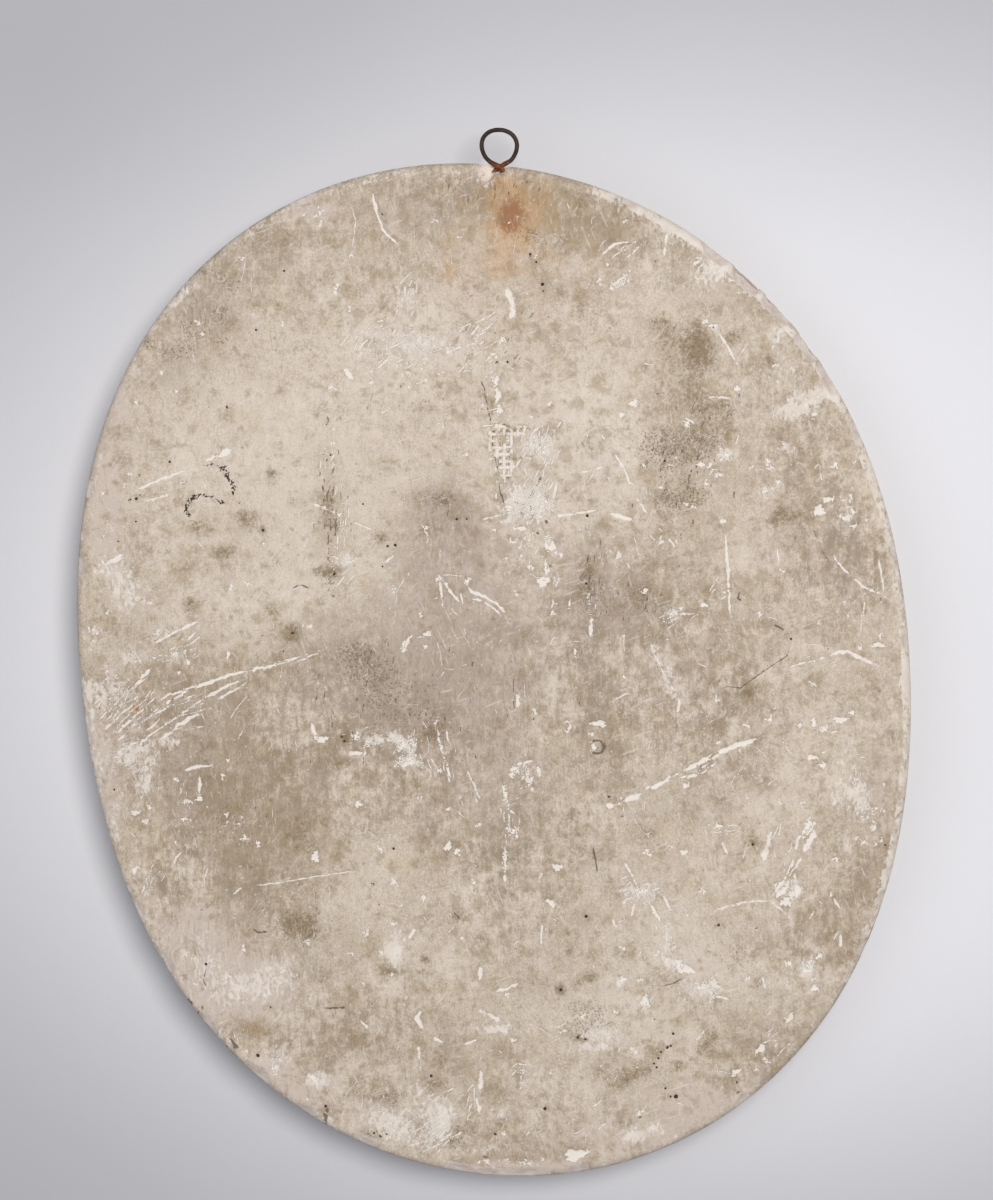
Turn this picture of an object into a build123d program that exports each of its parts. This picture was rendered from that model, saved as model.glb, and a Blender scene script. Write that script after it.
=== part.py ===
from build123d import *
import math
import os

# Oval plaster mold, lying face down: the moulding face looks down (-Z), the back looks up (+Z).
# The hanging loop is at the top (+Y). All sizes are in millimetres.
# The origin is on the surface that the slab lies on, in the middle of the whole object's box.

# ---- driving dimensions -------------------------------------------------------------------------

OVAL_RADIUS = 185.7           # mean distance from the slab's middle to its edge
# The hand-made outline is a circle with waves: how many lobes, how high, and where the first one points
# (degrees from +X towards +Y). The wave with two lobes makes the oval, leaning towards -X at its top.
OUTLINE_WAVES = [
    (1, 0.9, 146.0),
    (2, 19.2, 99.9),
    (3, 1.0, 20.0),
    (4, 1.2, 36.3),
]
OUTLINE_POINTS = 24

FACE_COAT = 19.0              # thickness of each layer, from the moulding face to the back
BACKING_COAT = 9.0
SKIM_COAT = 4.0

FACE_CHAMFER = 1.5            # broken corner between the rim land and the side wall
BACK_ROUNDING = 3.6           # soft corner between the side wall and the back

RIM_LAND = 17.0               # flat ring round the moulding hollow
BORDER_DEPTH = 7.0            # the cast's flat border is formed this deep
BORDER_WIDTH = 15.0
FIELD_DEPTH = 13.0            # the cast's raised middle is formed this deep
WALL_SLOPE = 25.0             # degrees of draft on the hollow's walls

SCRIM_WIDTH = 100.0           # one strip of hessian
SCRIM_PITCH = 68.0            # from one strip's edge to the next one's
SCRIM_FIRST_EDGE = -201.6     # left edge of the first strip
SCRIM_COUNT = 5
SCRIM_THICKNESS = 1.0
SCRIM_INSET = 9.0             # the strips stop this far inside the slab's edge

WIRE_DIAMETER = 1.8
HANGER_X = 1.9                # the loop's centre, from the slab's middle
HANGER_Y = 208.4
LOOP_RADIUS = 7.3             # to the middle of the wire
LOOP_CORNERS = 6
STRAND_OFFSET = 1.1           # at the crossing one strand lies this far above the wire's level
WIRE_COVER = 0.1              # plaster between the upper strand and the skim coat
LEG_BEND = 12.0               # radii of the wire's bends
NECK_BEND = 5.0
CHIP_RADIUS = 7.5             # plaster broken away round the crossing
CHIP_DEPTH = 5.0
CHIP_X = 0.5
CHIP_Y = 202.5

# ---- sizes worked out from them ------------------------------------------------------------------

BACKING_LEVEL = FACE_COAT
SKIM_LEVEL = BACKING_LEVEL + BACKING_COAT
BACK_LEVEL = SKIM_LEVEL + SKIM_COAT
WIRE_LEVEL = SKIM_LEVEL - STRAND_OFFSET - WIRE_DIAMETER / 2 - WIRE_COVER


def edge_point(degrees, inset=0.0):
    """A point of the outline, from the slab's middle, moved in towards the middle by inset."""
    radius = OVAL_RADIUS - inset
    for lobes, height, direction in OUTLINE_WAVES:
        radius += height * math.cos(math.radians(lobes * (degrees - direction)))
    angle = math.radians(degrees)
    return (radius * math.cos(angle), radius * math.sin(angle))


# The whole object's box runs from the slab's lower edge to the loop's top.
EDGE = [edge_point(degrees) for degrees in range(360)]
EDGE_LEFT = min(x for x, y in EDGE)
EDGE_RIGHT = max(x for x, y in EDGE)
EDGE_LOW = min(y for x, y in EDGE)
LOOP_TOP = HANGER_Y + LOOP_RADIUS + WIRE_DIAMETER / 2
MIDDLE_X = -(EDGE_LEFT + EDGE_RIGHT) / 2
MIDDLE_Y = -(EDGE_LOW + LOOP_TOP) / 2


# ---- building blocks -----------------------------------------------------------------------------

def oval(inset, level):
    """The slab's outline, moved in by inset, as a flat face at a level."""
    step = 360 / OUTLINE_POINTS
    points = [edge_point(step * index, inset) for index in range(OUTLINE_POINTS)]
    outline = make_face(Spline(*points, periodic=True))
    return Pos(MIDDLE_X, MIDDLE_Y, level) * outline


def oval_slab(inset, low, high):
    return extrude(oval(inset, low), amount=high - low)


def oval_hollow(inset, low, high):
    """A hollow that narrows upwards, for a cast that has to leave it."""
    narrowing = (high - low) * math.tan(math.radians(WALL_SLOPE))
    return loft([oval(inset, low), oval(inset + narrowing, high)])


def side_edges(solid, level):
    """The side wall's edge at one level."""
    return solid.edges().filter_by_position(Axis.Z, level - 0.01, level + 0.01)


def chip():
    """Where the plaster has broken away round the wire's crossing."""
    place = Pos(MIDDLE_X + CHIP_X, MIDDLE_Y + CHIP_Y, BACK_LEVEL - CHIP_DEPTH)
    return place * Cylinder(CHIP_RADIUS, 2 * CHIP_DEPTH, align=(Align.CENTER, Align.CENTER, Align.MIN))


# ---- hanger wire ---------------------------------------------------------------------------------

def wire_route():
    """Corners of the wire's middle line: left leg, crossing, loop, crossing, right leg."""
    low = WIRE_LEVEL - STRAND_OFFSET
    high = WIRE_LEVEL + STRAND_OFFSET
    left_leg = [(-22, 158, low), (-8, 171, low), (-4, 186, low), (0, 197, low)]
    right_leg = [(3.2, 199.4, high), (4.5, 189, high), (7, 175, high), (13, 160, high)]

    # The loop's corners are those of an octagon round it, with two missing at the bottom.
    half_side = math.radians(22.5)
    corner_radius = LOOP_RADIUS / math.cos(half_side)
    loop = []
    for corner in range(LOOP_CORNERS):
        angle = (2 * corner - 1) * half_side
        share = corner / (LOOP_CORNERS - 1)
        x = HANGER_X + corner_radius * math.cos(angle)
        y = HANGER_Y + corner_radius * math.sin(angle)
        loop.append((x, y, low + share * (high - low)))

    corners = left_leg + loop + right_leg
    return [(x + MIDDLE_X, y + MIDDLE_Y, z) for x, y, z in corners]


def hanger_wire():
    corners = wire_route()
    loop_bend = 0.97 * LOOP_RADIUS
    leg_bends = [LEG_BEND, LEG_BEND, NECK_BEND]
    bends = leg_bends + [loop_bend] * LOOP_CORNERS + leg_bends[::-1]
    path = FilletPolyline(*corners, radius=bends)
    start = Plane(origin=path @ 0, z_dir=path % 0)
    return sweep(start * Circle(WIRE_DIAMETER / 2), path=path)


# ---- the layers ----------------------------------------------------------------------------------

def face_coat():
    slab = oval_slab(0, 0, FACE_COAT)
    slab = chamfer(side_edges(slab, 0), FACE_CHAMFER)
    border_narrowing = BORDER_DEPTH * math.tan(math.radians(WALL_SLOPE))
    field_inset = RIM_LAND + border_narrowing + BORDER_WIDTH
    slab -= oval_hollow(RIM_LAND, 0, BORDER_DEPTH)
    slab -= oval_hollow(field_inset, BORDER_DEPTH, FIELD_DEPTH)
    return slab


def backing_coat(wire):
    return oval_slab(0, BACKING_LEVEL, SKIM_LEVEL) - wire - chip()


def scrim_strip(index):
    """Every second strip lies on top of its neighbours, so that the strips lap."""
    level = SKIM_LEVEL + SCRIM_THICKNESS * (index % 2)
    left = MIDDLE_X + SCRIM_FIRST_EDGE + SCRIM_PITCH * index
    longer_than_slab = 3 * OVAL_RADIUS
    corner = (Align.MIN, Align.CENTER, Align.MIN)
    strip = Box(SCRIM_WIDTH, longer_than_slab, SCRIM_THICKNESS, align=corner)
    strip = Pos(left, MIDDLE_Y, level) * strip
    bed = oval_slab(SCRIM_INSET, level, level + SCRIM_THICKNESS)
    return (strip & bed) - chip()


def skim_coat(strips):
    slab = oval_slab(0, SKIM_LEVEL, BACK_LEVEL)
    slab = fillet(side_edges(slab, BACK_LEVEL), BACK_ROUNDING)
    for strip in strips:
        slab -= strip
    return slab - chip()


# ---- write one file for each piece ---------------------------------------------------------------

def main():
    wire = hanger_wire()
    strips = [scrim_strip(index) for index in range(SCRIM_COUNT)]
    pieces = {
        "face_coat": face_coat(),
        "backing_coat": backing_coat(wire),
        "skim_coat": skim_coat(strips),
        "hanger_wire": wire,
    }
    for index, strip in enumerate(strips):
        pieces[f"scrim_strip_{index + 1}"] = strip

    os.makedirs("parts", exist_ok=True)
    for name, piece in pieces.items():
        export_step(piece, f"parts/{name}.step")
        print(name, "volume", round(piece.volume, 1), "box", piece.bounding_box())


main()
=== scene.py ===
import math

import bpy
import numpy as np
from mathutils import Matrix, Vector
from mathutils.geometry import delaunay_2d_cdt


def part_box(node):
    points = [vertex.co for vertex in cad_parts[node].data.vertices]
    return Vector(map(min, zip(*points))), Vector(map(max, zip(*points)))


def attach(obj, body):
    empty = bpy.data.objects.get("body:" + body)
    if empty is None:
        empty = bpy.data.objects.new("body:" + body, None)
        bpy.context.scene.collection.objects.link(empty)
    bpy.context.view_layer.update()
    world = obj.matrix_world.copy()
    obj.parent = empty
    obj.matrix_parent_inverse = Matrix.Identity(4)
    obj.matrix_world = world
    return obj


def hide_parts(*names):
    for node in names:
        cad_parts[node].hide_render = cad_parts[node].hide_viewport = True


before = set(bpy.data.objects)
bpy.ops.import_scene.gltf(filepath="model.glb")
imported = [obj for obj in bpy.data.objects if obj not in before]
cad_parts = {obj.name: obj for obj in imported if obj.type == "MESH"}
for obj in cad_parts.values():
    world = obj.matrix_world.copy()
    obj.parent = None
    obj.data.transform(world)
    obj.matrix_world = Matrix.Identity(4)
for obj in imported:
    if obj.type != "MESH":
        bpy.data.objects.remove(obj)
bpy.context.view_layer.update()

# An old oval plaster mold lies face down on a pale floor. Its aged back looks up, and a loop of rusty
# wire stands out of its top edge. Shapes are worked out in millimetres, measured from the middle of the
# slab (X to the right, Y towards the loop) and, in height, from the floor. Meshes are written in metres.

MM = 0.001


# ==== sizes read from the frame ====================================================================

def node_box(node):
    low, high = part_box(node)
    return np.array(low) / MM, np.array(high) / MM


backing_low, backing_high = node_box("backing_coat")
wire_low, wire_high = node_box("hanger_wire")

MIDDLE = (backing_low + backing_high)[:2] / 2
BACKING_LEVEL = backing_low[2]
SKIM_LEVEL = backing_high[2]
BACK_LEVEL = node_box("skim_coat")[1][2]


def outline_waves(orders=6):
    """The slab's edge as a mean radius and waves round it, fitted to the backing coat's outline."""
    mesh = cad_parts["backing_coat"].data
    spots = np.array([vertex.co for vertex in mesh.vertices]) / MM
    spots = spots[spots[:, 2] < BACKING_LEVEL + 0.01]
    across = spots[:, :2] - MIDDLE
    angles = np.arctan2(across[:, 1], across[:, 0])
    radii = np.hypot(across[:, 0], across[:, 1])
    waves = [np.ones_like(angles)]
    for order in range(1, orders + 1):
        waves += [np.cos(order * angles), np.sin(order * angles)]
    return np.linalg.lstsq(np.array(waves).T, radii, rcond=None)[0]


OUTLINE = outline_waves()


def edge_radius(angles):
    """The slab's radius in each direction."""
    radii = np.full_like(angles, OUTLINE[0])
    for order in range(1, (len(OUTLINE) - 1) // 2 + 1):
        radii = radii + OUTLINE[2 * order - 1] * np.cos(order * angles)
        radii = radii + OUTLINE[2 * order] * np.sin(order * angles)
    return radii


def edge_inset(x, y):
    """How far inside the slab's edge each place is."""
    return edge_radius(np.arctan2(y, x)) - np.hypot(x, y)


# ==== noise ========================================================================================

NOISE_CELLS = 48


def noise(points, size, seed, octaves=1):
    """Smooth noise from -1 to 1 at points (n by 3), with features of the given size in millimetres."""
    total = np.zeros(len(points))
    reach = 0.0
    for octave in range(octaves):
        lattice = np.random.RandomState(seed + octave).uniform(-1, 1, (NOISE_CELLS,) * 3)
        scaled = points * (2 ** octave / size) + 0.37 * NOISE_CELLS
        cell = np.floor(scaled).astype(int)
        part = scaled - cell
        part = part * part * (3 - 2 * part)
        value = np.zeros(len(points))
        for corner in np.ndindex(2, 2, 2):
            x, y, z = ((cell + corner) % NOISE_CELLS).T
            near_x, near_y, near_z = np.where(corner, part, 1 - part).T
            value += lattice[x, y, z] * (near_x * near_y * near_z)
        total += value / 2 ** octave
        reach += 1 / 2 ** octave
    return total / reach


def flat(x, y, z=0.0):
    """Points at one height, from their x and y."""
    return np.column_stack([x, y, np.full_like(x, z)])


def smooth_step(value, low, high):
    """From 0 to 1 while the value goes from low to high, eased at both."""
    share = np.clip((value - low) / (high - low), 0, 1)
    return share * share * (3 - 2 * share)


# ==== the marks on the back ========================================================================
# All of them are given in millimetres from the middle of the slab.

# Soft stains: middle x and y, half-width, half-height, strength.
STAINS = {
    # how pale (above 0) or dark (below 0) the aged skin is
    "tone": [
        (-75, 92, 66, 60, 0.7), (-30, 136, 22, 13, 0.5), (20, 100, 34, 34, 0.85), (40, 80, 16, 16, 0.45),
        (130, 108, 14, 12, 0.4), (98, 50, 14, 18, 0.6), (6, 42, 14, 20, 0.35), (34, 54, 12, 14, 0.4),
        (126, -36, 22, 34, 0.6), (66, -118, 22, 16, 0.45), (62, -86, 30, 18, 0.3), (-30, 24, 20, 14, 0.25),
        (40, -146, 34, 18, 0.4), (-60, -92, 24, 30, 0.75), (84, -150, 28, 18, 0.35),
        (98, -118, 14, 10, 0.4), (-120, 20, 26, 20, 0.45), (-94, 52, 30, 26, 0.2),
        (-10, -116, 30, 16, 0.2), (-84, 28, 26, 14, 0.5), (58, 110, 20, 14, 0.5), (66, 142, 24, 14, 0.55),
        (-96, -54, 30, 42, -1), (-62, -8, 44, 20, -0.3), (-14, 0, 50, 34, -0.25), (62, 24, 18, 14, -0.5),
        (128, -102, 12, 12, -0.8), (-122, 150, 20, 24, -0.95), (-20, 52, 15, 26, -0.85),
        (-8, 190, 30, 10, -1), (46, 180, 24, 11, -0.2), (-62, -118, 16, 14, -0.35),
        (-64, -148, 20, 15, -0.45), (-22, -152, 20, 12, -0.2), (-132, -55, 14, 30, -0.3),
        (98, -6, 20, 12, -0.6), (2, -62, 20, 20, -0.8), (141, 44, 13, 17, -0.9), (-94, 168, 18, 13, -0.4),
        (38, 28, 9, 22, -0.45), (-30, -24, 26, 12, -0.7), (148, -92, 10, 30, -0.55),
        (112, -154, 24, 12, -0.8), (46, -10, 24, 14, -0.6), (50, -32, 30, 10, -0.5),
        (98, -34, 14, 12, -0.35), (-118, -6, 24, 9, -0.6), (-96, -88, 16, 14, -0.45),
        (-126, -22, 14, 24, -0.6), (70, 106, 14, 14, -0.7), (130, 100, 12, 18, -0.35),
        (34, -20, 14, 22, -0.25), (66, 84, 14, 16, 0.5), (-30, 130, 18, 10, 0.5), (30, -140, 14, 8, 0.35),
        (-94, 108, 15, 13, 0.3), (-30, -33, 13, 11, -0.35),
    ],
    # cold grey-mauve bloom
    "grey": [
        (-20, 52, 16, 26, 0.9), (37, 30, 9, 20, 0.8), (56, 28, 9, 11, 0.7), (142, 44, 11, 14, 0.6),
        (-34, -8, 32, 24, 0.6), (-6, 14, 44, 34, 0.7), (0, -50, 24, 20, 0.5), (-70, 5, 30, 20, 0.3),
        (110, 60, 22, 18, 0.3), (-118, 152, 20, 24, 0.6), (70, -10, 20, 14, 0.3), (-30, 180, 18, 10, 0.6),
        (30, -130, 24, 12, 0.4), (12, 62, 10, 12, 0.4), (-127, 118, 13, 8, 0.5), (106, -162, 7, 5, 0.7),
        (107, -104, 12, 11, 0.4), (130, -142, 22, 16, 0.3),
    ],
    # brown and olive damp stains
    "brown": [
        (-94, -58, 30, 40, 0.8), (76, 82, 22, 22, 0.5), (4, 184, 40, 14, 0.6), (48, 178, 26, 12, 0.6),
        (-64, -146, 18, 14, 0.6), (152, -60, 9, 60, 0.6), (100, 130, 26, 14, 0.4), (-80, 16, 10, 8, 0.6),
        (96, -10, 18, 12, 0.4), (-120, 56, 12, 12, 0.4), (-98, 54, 9, 8, 0.4), (140, -110, 12, 26, 0.4),
        (36, -98, 14, 12, 0.3), (-140, 90, 12, 20, 0.2), (-96, -145, 8, 6, 0.8), (38, 175, 12, 8, 0.4),
        (8, -195, 15, 3.5, 1), (-12, -195.5, 6, 2, 1), (62, -129, 5, 5, 0.7), (130, -100, 12, 12, 0.5),
        (157, -82, 3, 9, 0.8), (-67, 62, 8, 26, 0.7), (120, -140, 18, 20, 0.3), (20, 88, 3, 4, 0.7),
    ],
    # bare plaster, pinkish
    "pink": [
        (-155, 68, 7, 28, 1.1), (-155, -46, 7, 22, 0.8), (-112, -116, 22, 20, 0.7),
        (-46, -178, 12, 6, 0.9), (152, -50, 8, 22, 0.7), (154, 15, 4, 4, 0.7), (82, -174, 20, 10, 0.8),
        (-71, 184, 10, 4, 1), (-88, -163, 17, 6, 0.9), (10, -199, 34, 3, 0.9), (40, -186, 20, 8, 0.4),
        (62, -190, 18, 5, 0.7), (-36, 186, 20, 6, 0.3), (100, 150, 12, 10, 0.4), (84, -118, 16, 10, 0.5),
        (26, -178, 16, 9, 0.3), (-106, 148, 5, 5, 0.5), (-99, 161, 5, 5, 0.5), (-149, 108, 4, 10, 0.8),
        (133, 57, 4, 4, 0.4), (-102, -127, 18, 11, 1.2), (-121, -106, 8, 13, 0.8), (-162, -28, 4, 12, 0.9),
        (75, -180, 5, 5, 0.7), (85, -173, 6, 4, 0.7), (-11, 176, 10, 5, 0.3), (-72, -170, 12, 6, 0.8),
    ],
    # rust bled up from the wire's legs
    "rust": [
        (6, 180, 6, 9, 1.1), (9, 186, 9, 6, 0.4), (4, 161, 5, 4, 0.5), (-19, 161, 3, 5, 0.55),
        (10, 187, 14, 12, 0.35), (3, 174, 20, 16, 0.2), (-142.8, -15.2, 1.8, 1.6, 2.4),
        (16, 167, 5, 4, 0.3), (12, 166, 44, 28, 0.26), (-96, -144, 7, 5, 0.4), (1, 196, 5, 4, 0.75),
        (-17, 168, 10, 8, 0.15), (-104.3, 70.6, 2.4, 2.4, 0.5), (79, -84, 2, 2, 0.5),
        (61, -130, 4, 5, 0.35), (8, -162, 2, 2, 0.4), (59, -140, 3, 2, 0.4),
    ],
    # mould and mildew: soft brown spots with darker hearts
    "mould": [
        (79, 136, 5, 8, 0.7), (83, 130, 6, 6, 0.8), (81, 116, 6, 11, 0.6), (69, 127, 5, 8, 0.5),
        (110, 124, 3, 4, 1.1), (65, 136.5, 6, 5, 0.7), (34.5, 143.5, 4, 6, 0.7), (95.5, 133, 3.6, 3, 0.9),
        (48.5, 138, 2, 2, 0.6), (17, 134.5, 3, 3, 0.5), (52, 130, 3, 3, 0.5), (42, 151, 3, 2, 0.4),
        (76, 169.5, 2, 2, 0.5), (55.5, 180, 3, 2, 0.5), (87, 125, 4, 4, 0.6), (98, 146, 12, 10, 0.3),
        (92, 106, 12, 9, 0.7), (-107.5, 101.5, 4, 4, 0.6), (-67, 155, 3, 3, 0.7),
        (-43.5, 145.5, 3, 3, 0.6), (-62.5, 135, 6, 5, 0.5), (-44.5, 169, 3, 3, 0.5), (-13, 138, 3, 3, 0.6),
        (1.5, 148, 3, 3, 0.6), (-16, 132, 4, 3, 0.5), (-29.5, 105, 4, 3, 0.6), (-8.5, 106, 4, 4, 0.6),
        (-17.5, 105.5, 3, 3, 0.5), (-73, 125, 2, 2, 0.6), (-88.5, 78.7, 1.8, 1.8, 1),
        (-88.5, 78.7, 4.5, 4, 0.4), (-117, 58, 5.5, 3, 0.9), (-99, 59.5, 6, 4, 0.95),
        (-108.5, 48, 5, 4, 0.95), (-121, 26.5, 4.5, 4.2, 0.9), (-89, 24.6, 3.6, 3.6, 0.8),
        (-92.4, 56, 1.4, 1.4, 0.9), (-91.7, 51.7, 2, 2, 0.6), (-87, 43.5, 2, 2, 0.7),
        (-80.4, 66.4, 3, 3, 0.6), (-81, 53, 2, 2, 0.5), (-124.5, 75, 2.4, 2.4, 0.6),
        (-112, 75, 4, 3, 0.45), (-80.4, 15, 8, 6, 0.8), (-80.4, 14, 3, 2.6, 0.6), (-99.5, 14, 3, 3, 0.6),
        (-109, 35.5, 2.5, 2.5, 0.5), (-131, 46, 3, 3, 0.4), (-66.5, 68.5, 5, 4, 0.6),
        (-68.5, 61, 5, 6, 0.6), (-63.7, 39.7, 5, 4, 1), (-70.5, 39.5, 3, 3, 0.7),
        (-41.6, 59.4, 1.6, 1.6, 0.8), (-45, 53, 4, 3, 0.9), (-55.6, 4.6, 6, 6, 0.4),
        (-43.3, 11, 1.5, 1.5, 0.7), (-22.6, 67.8, 8, 5, 0.5), (-17.7, 68.5, 4, 4, 0.6),
        (-10, 77, 1.6, 1.6, 0.7), (-46.5, 0, 12, 8, 0.4), (64.5, 69, 9, 4, 0.45), (78, 68, 13, 8.5, 0.45),
        (68, 89, 14, 8, 0.4), (84.3, 91, 8, 5, 0.4), (38, 89, 10, 4, 0.6), (30.3, 69, 3, 3, 0.6),
        (42, 78.3, 2, 2, 0.6), (38, 40, 2.6, 10, 0.8), (51.5, 26, 11, 8, 0.55), (64, 31, 8, 6, 0.5),
        (124, 80, 2.5, 2.5, 0.5), (150, 63.6, 2, 2, 0.5), (114.7, 63.6, 5, 3, 0.7),
        (111.5, 58.7, 3.5, 3.5, 0.8), (121.7, 60, 5, 3, 0.7), (144, 38, 8, 10, 0.4),
        (102, -8.7, 2.5, 2.5, 0.6), (-112.7, -43, 4, 5, 0.7), (-101.5, -53.6, 5, 5, 0.6),
        (-82, -67.7, 8, 12, 0.3), (-116, -32, 6, 4, 0.6), (-99.5, -78, 6, 4, 0.6),
        (-59.8, -27.7, 2.6, 2.6, 1.2), (-59, -20.6, 2, 2, 0.8), (-67, -32, 3, 3, 0.5),
        (-62, -39, 4, 3, 0.7), (-42, -16, 13, 9, 0.5), (-20, -18.5, 10, 9, 0.45), (-26, -25, 6, 4, 0.6),
        (-14, -53, 2, 2, 0.6), (-27, -67.7, 3, 3, 0.6), (-8, -78, 5, 3, 0.7), (-22, -101.4, 3, 3, 0.5),
        (-77.4, -99, 6, 9, 0.7), (-77.4, -66, 5, 8, 0.6), (-67.6, -60, 3, 3, 0.6),
        (-62.6, -103, 4, 4, 0.5), (-55, -37, 3, 3, 0.6), (44, -30.8, 1.6, 2.4, 1), (55, -45, 3, 3, 0.6),
        (65.5, -92, 2.5, 2.5, 0.6), (37, -98.6, 4, 4, 0.7), (90, -102, 3, 3, 0.6), (61, -64, 9, 5.5, 0.7),
        (29.6, -58.5, 6, 4, 0.7), (30, -67, 3, 3, 0.6), (45.7, -64, 3, 3, 0.5), (89, -23.5, 5, 5, 0.6),
        (90.6, -51.5, 4.5, 4.5, 0.6), (77, -53.6, 4, 3.4, 0.6), (78.7, -25.6, 3, 3, 0.5),
        (103, -20.6, 3, 3, 0.6), (102, -9.5, 3, 3, 0.6), (124, -14, 2.5, 2.5, 0.6),
        (139, -16.5, 3, 3, 0.6), (103.5, -70, 4, 4, 0.9), (124.5, -101, 6, 5, 0.5), (126, -113, 2, 2, 0.8),
        (145.6, -46.6, 4, 6, 0.5), (124, -43, 3, 4, 0.5), (137, -66, 4, 4, 0.5), (116, -66, 3, 3, 0.5),
        (-77, -105, 7, 5, 0.55), (-69, -120, 4, 5, 0.6), (-56, -130, 5, 5, 0.5), (-43, -121, 4, 3, 0.6),
        (-54, -147, 4, 3.5, 0.7), (-61.5, -151, 3, 4, 0.6), (-54, -170, 4, 4, 0.7),
        (-43, -171, 6, 3.5, 0.9), (-96, -144.5, 7, 5, 0.6), (-122.6, -124, 4, 4, 0.5),
        (26.7, -128, 2.4, 2.4, 1.2), (33, -125, 2, 2, 0.8), (38.3, -122.4, 3.5, 3.2, 1.1),
        (30, -112, 2, 2, 0.9), (24.6, -118, 3, 3, 0.5), (29, -105, 1.6, 1.6, 0.9), (15.5, -125, 6, 5, 0.5),
        (15, -151, 3, 2.6, 0.6), (6.4, -144, 2.4, 9, 0.5), (-28.4, -115.7, 2.2, 2.2, 1),
        (-25.6, -107, 2.5, 2.5, 0.7), (-16, -105.5, 2, 2, 0.9), (-3.5, -107.6, 4, 3, 0.8),
        (-7.7, -114, 4, 4, 0.5), (10.6, -111, 3, 3, 0.6), (-24.5, -137, 5, 3.4, 0.6),
        (-36.5, -133, 5, 4, 0.5), (-14, -131, 2, 2, 0.6), (-41.4, -122, 5, 4, 0.5),
        (-19, -145.5, 3, 2, 0.6), (-21, -155.4, 6, 6, 0.8), (-22.4, -165, 4.5, 2.6, 0.8),
        (-30, -182.7, 3, 4, 0.7), (-17.5, -187.6, 3, 2, 0.8), (-11, -183.4, 4, 2, 0.6),
        (2.8, -181, 2.4, 2, 0.9), (34.7, -147.6, 5, 2, 1), (89, -132, 3, 3, 0.7),
        (98, -131, 2.5, 2.5, 0.5), (106, -126, 3, 5, 0.8), (80, -138.5, 4.5, 5.5, 0.6),
        (77.7, -131.5, 3, 3, 0.5), (87, -147, 4.5, 4.5, 0.9), (82, -152.5, 3, 2.6, 0.7),
        (87, -154.7, 3, 3, 0.6), (94.6, -153.3, 2.5, 2.5, 0.6), (73.5, -159, 3, 3, 0.8),
        (59, -161, 9, 4.5, 0.75), (53, -163, 4, 4, 0.4), (42.6, -160, 5, 5, 0.6), (49, -168, 4, 4, 0.6),
        (45.4, -177.8, 3, 1.6, 0.7), (11, 184, 26, 12, 0.3),
    ],
    # fine dark specks, like pepper
    "pepper": [
        (-114, 158, 8, 4, 0.8), (-120.5, 136, 7, 7, 0.8), (-105.7, 153.7, 4, 3, 1.2),
        (-126, 150.5, 5, 3, 0.8), (-126, 127, 8, 3, 0.8), (-92.5, 178, 8, 4, 0.7), (-109, 143, 5, 5, 0.8),
        (-108, 131, 4, 3, 0.8), (-137, 131.5, 4, 4, 0.8), (14, 175, 4, 3, 0.8), (35, 185.6, 4, 3, 0.8),
        (-142, 75, 2, 9, 0.7), (-22.6, 67.8, 8, 5, 0.8), (-10.7, 148.4, 2, 3, 0.8), (-15, 195, 12, 5, 0.7),
        (76.6, 68, 14, 9, 1), (68, 89, 14, 8, 1), (84, 91, 9, 5, 0.9), (90, 104, 12, 8, 0.7),
        (-65.5, 60, 4, 12, 1), (-66, 36, 5, 8, 0.8), (-55.6, 4.6, 9, 7, 0.9), (-46, -2, 12, 8, 0.7),
        (51, 26, 14, 10, 0.6), (38, 35, 4, 12, 0.9), (12, 66, 10, 8, 0.8), (140, 52, 12, 16, 0.5),
        (-42, -17, 14, 10, 0.6), (-20, -19, 12, 10, 0.6), (-40, -60, 30, 14, 0.35), (30, -66, 26, 12, 0.4),
        (-77, -104, 10, 8, 0.8), (-105, -60, 10, 14, 0.7), (38, -140, 16, 12, 0.8),
        (-20, -183, 18, 8, 0.8), (-48, -186, 6, 2.5, 1.1), (-43, -171, 8, 4, 0.8), (86, -150, 12, 10, 0.5),
        (96, -115, 14, 10, 0.6), (-28, 108, 16, 8, 0.5), (20, 170, 16, 8, 0.5), (90, 30, 14, 12, 0.4),
        (34, 6, 16, 8, 0.5), (-84, -84, 14, 12, 0.5), (20, -96, 30, 10, 0.4),
    ],
    # skin rubbed through to white plaster
    "rub": [
        (-149, 33, 8, 14, 0.75), (-148, -14, 12, 9, 0.4), (-3.5, 198.5, 3.6, 4.2, 1.1),
        (-35.5, 148, 5, 6, 0.7), (-31, 129.5, 14, 6, 0.8), (48, 190.5, 6, 2.2, 0.9), (60, 185, 5, 3, 0.7),
        (70, 178, 5, 3, 0.9), (79, 173, 5, 3, 0.8), (88, 168.5, 5, 3, 1), (98, 160.5, 4, 4, 0.9),
        (86, 157, 8, 8, 0.5), (88, 137, 2, 2, 0.9), (67.5, 154, 5, 5, 0.35), (94, 160.5, 8, 4, 0.9),
        (114, 134.5, 3, 3, 0.9), (119, 121, 8, 5, 0.8), (128, 110, 7, 4, 1.2), (118, 104, 6, 3.5, 1.1),
        (104, 115.5, 5, 6, 0.3), (136, 112, 4, 3, 1.1), (-157.7, 39.7, 2.4, 2.4, 0.3),
        (-133, 15.2, 4, 3, 0.9), (-160.5, 14, 3, 4, 0.8), (-145.7, 5.3, 4, 5, 0.8),
        (-127.5, 6.4, 1.8, 1.8, 1), (-156, -8, 6, 4, 0.6), (-59, 44, 5, 3, 0.9), (-4.4, 12.4, 6, 4, 0.5),
        (9, 66, 6, 4, 1), (18.5, 66, 5, 6, 1.1), (12, 72, 7, 4, 0.8), (3, 88, 4, 10, 0.6),
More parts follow.
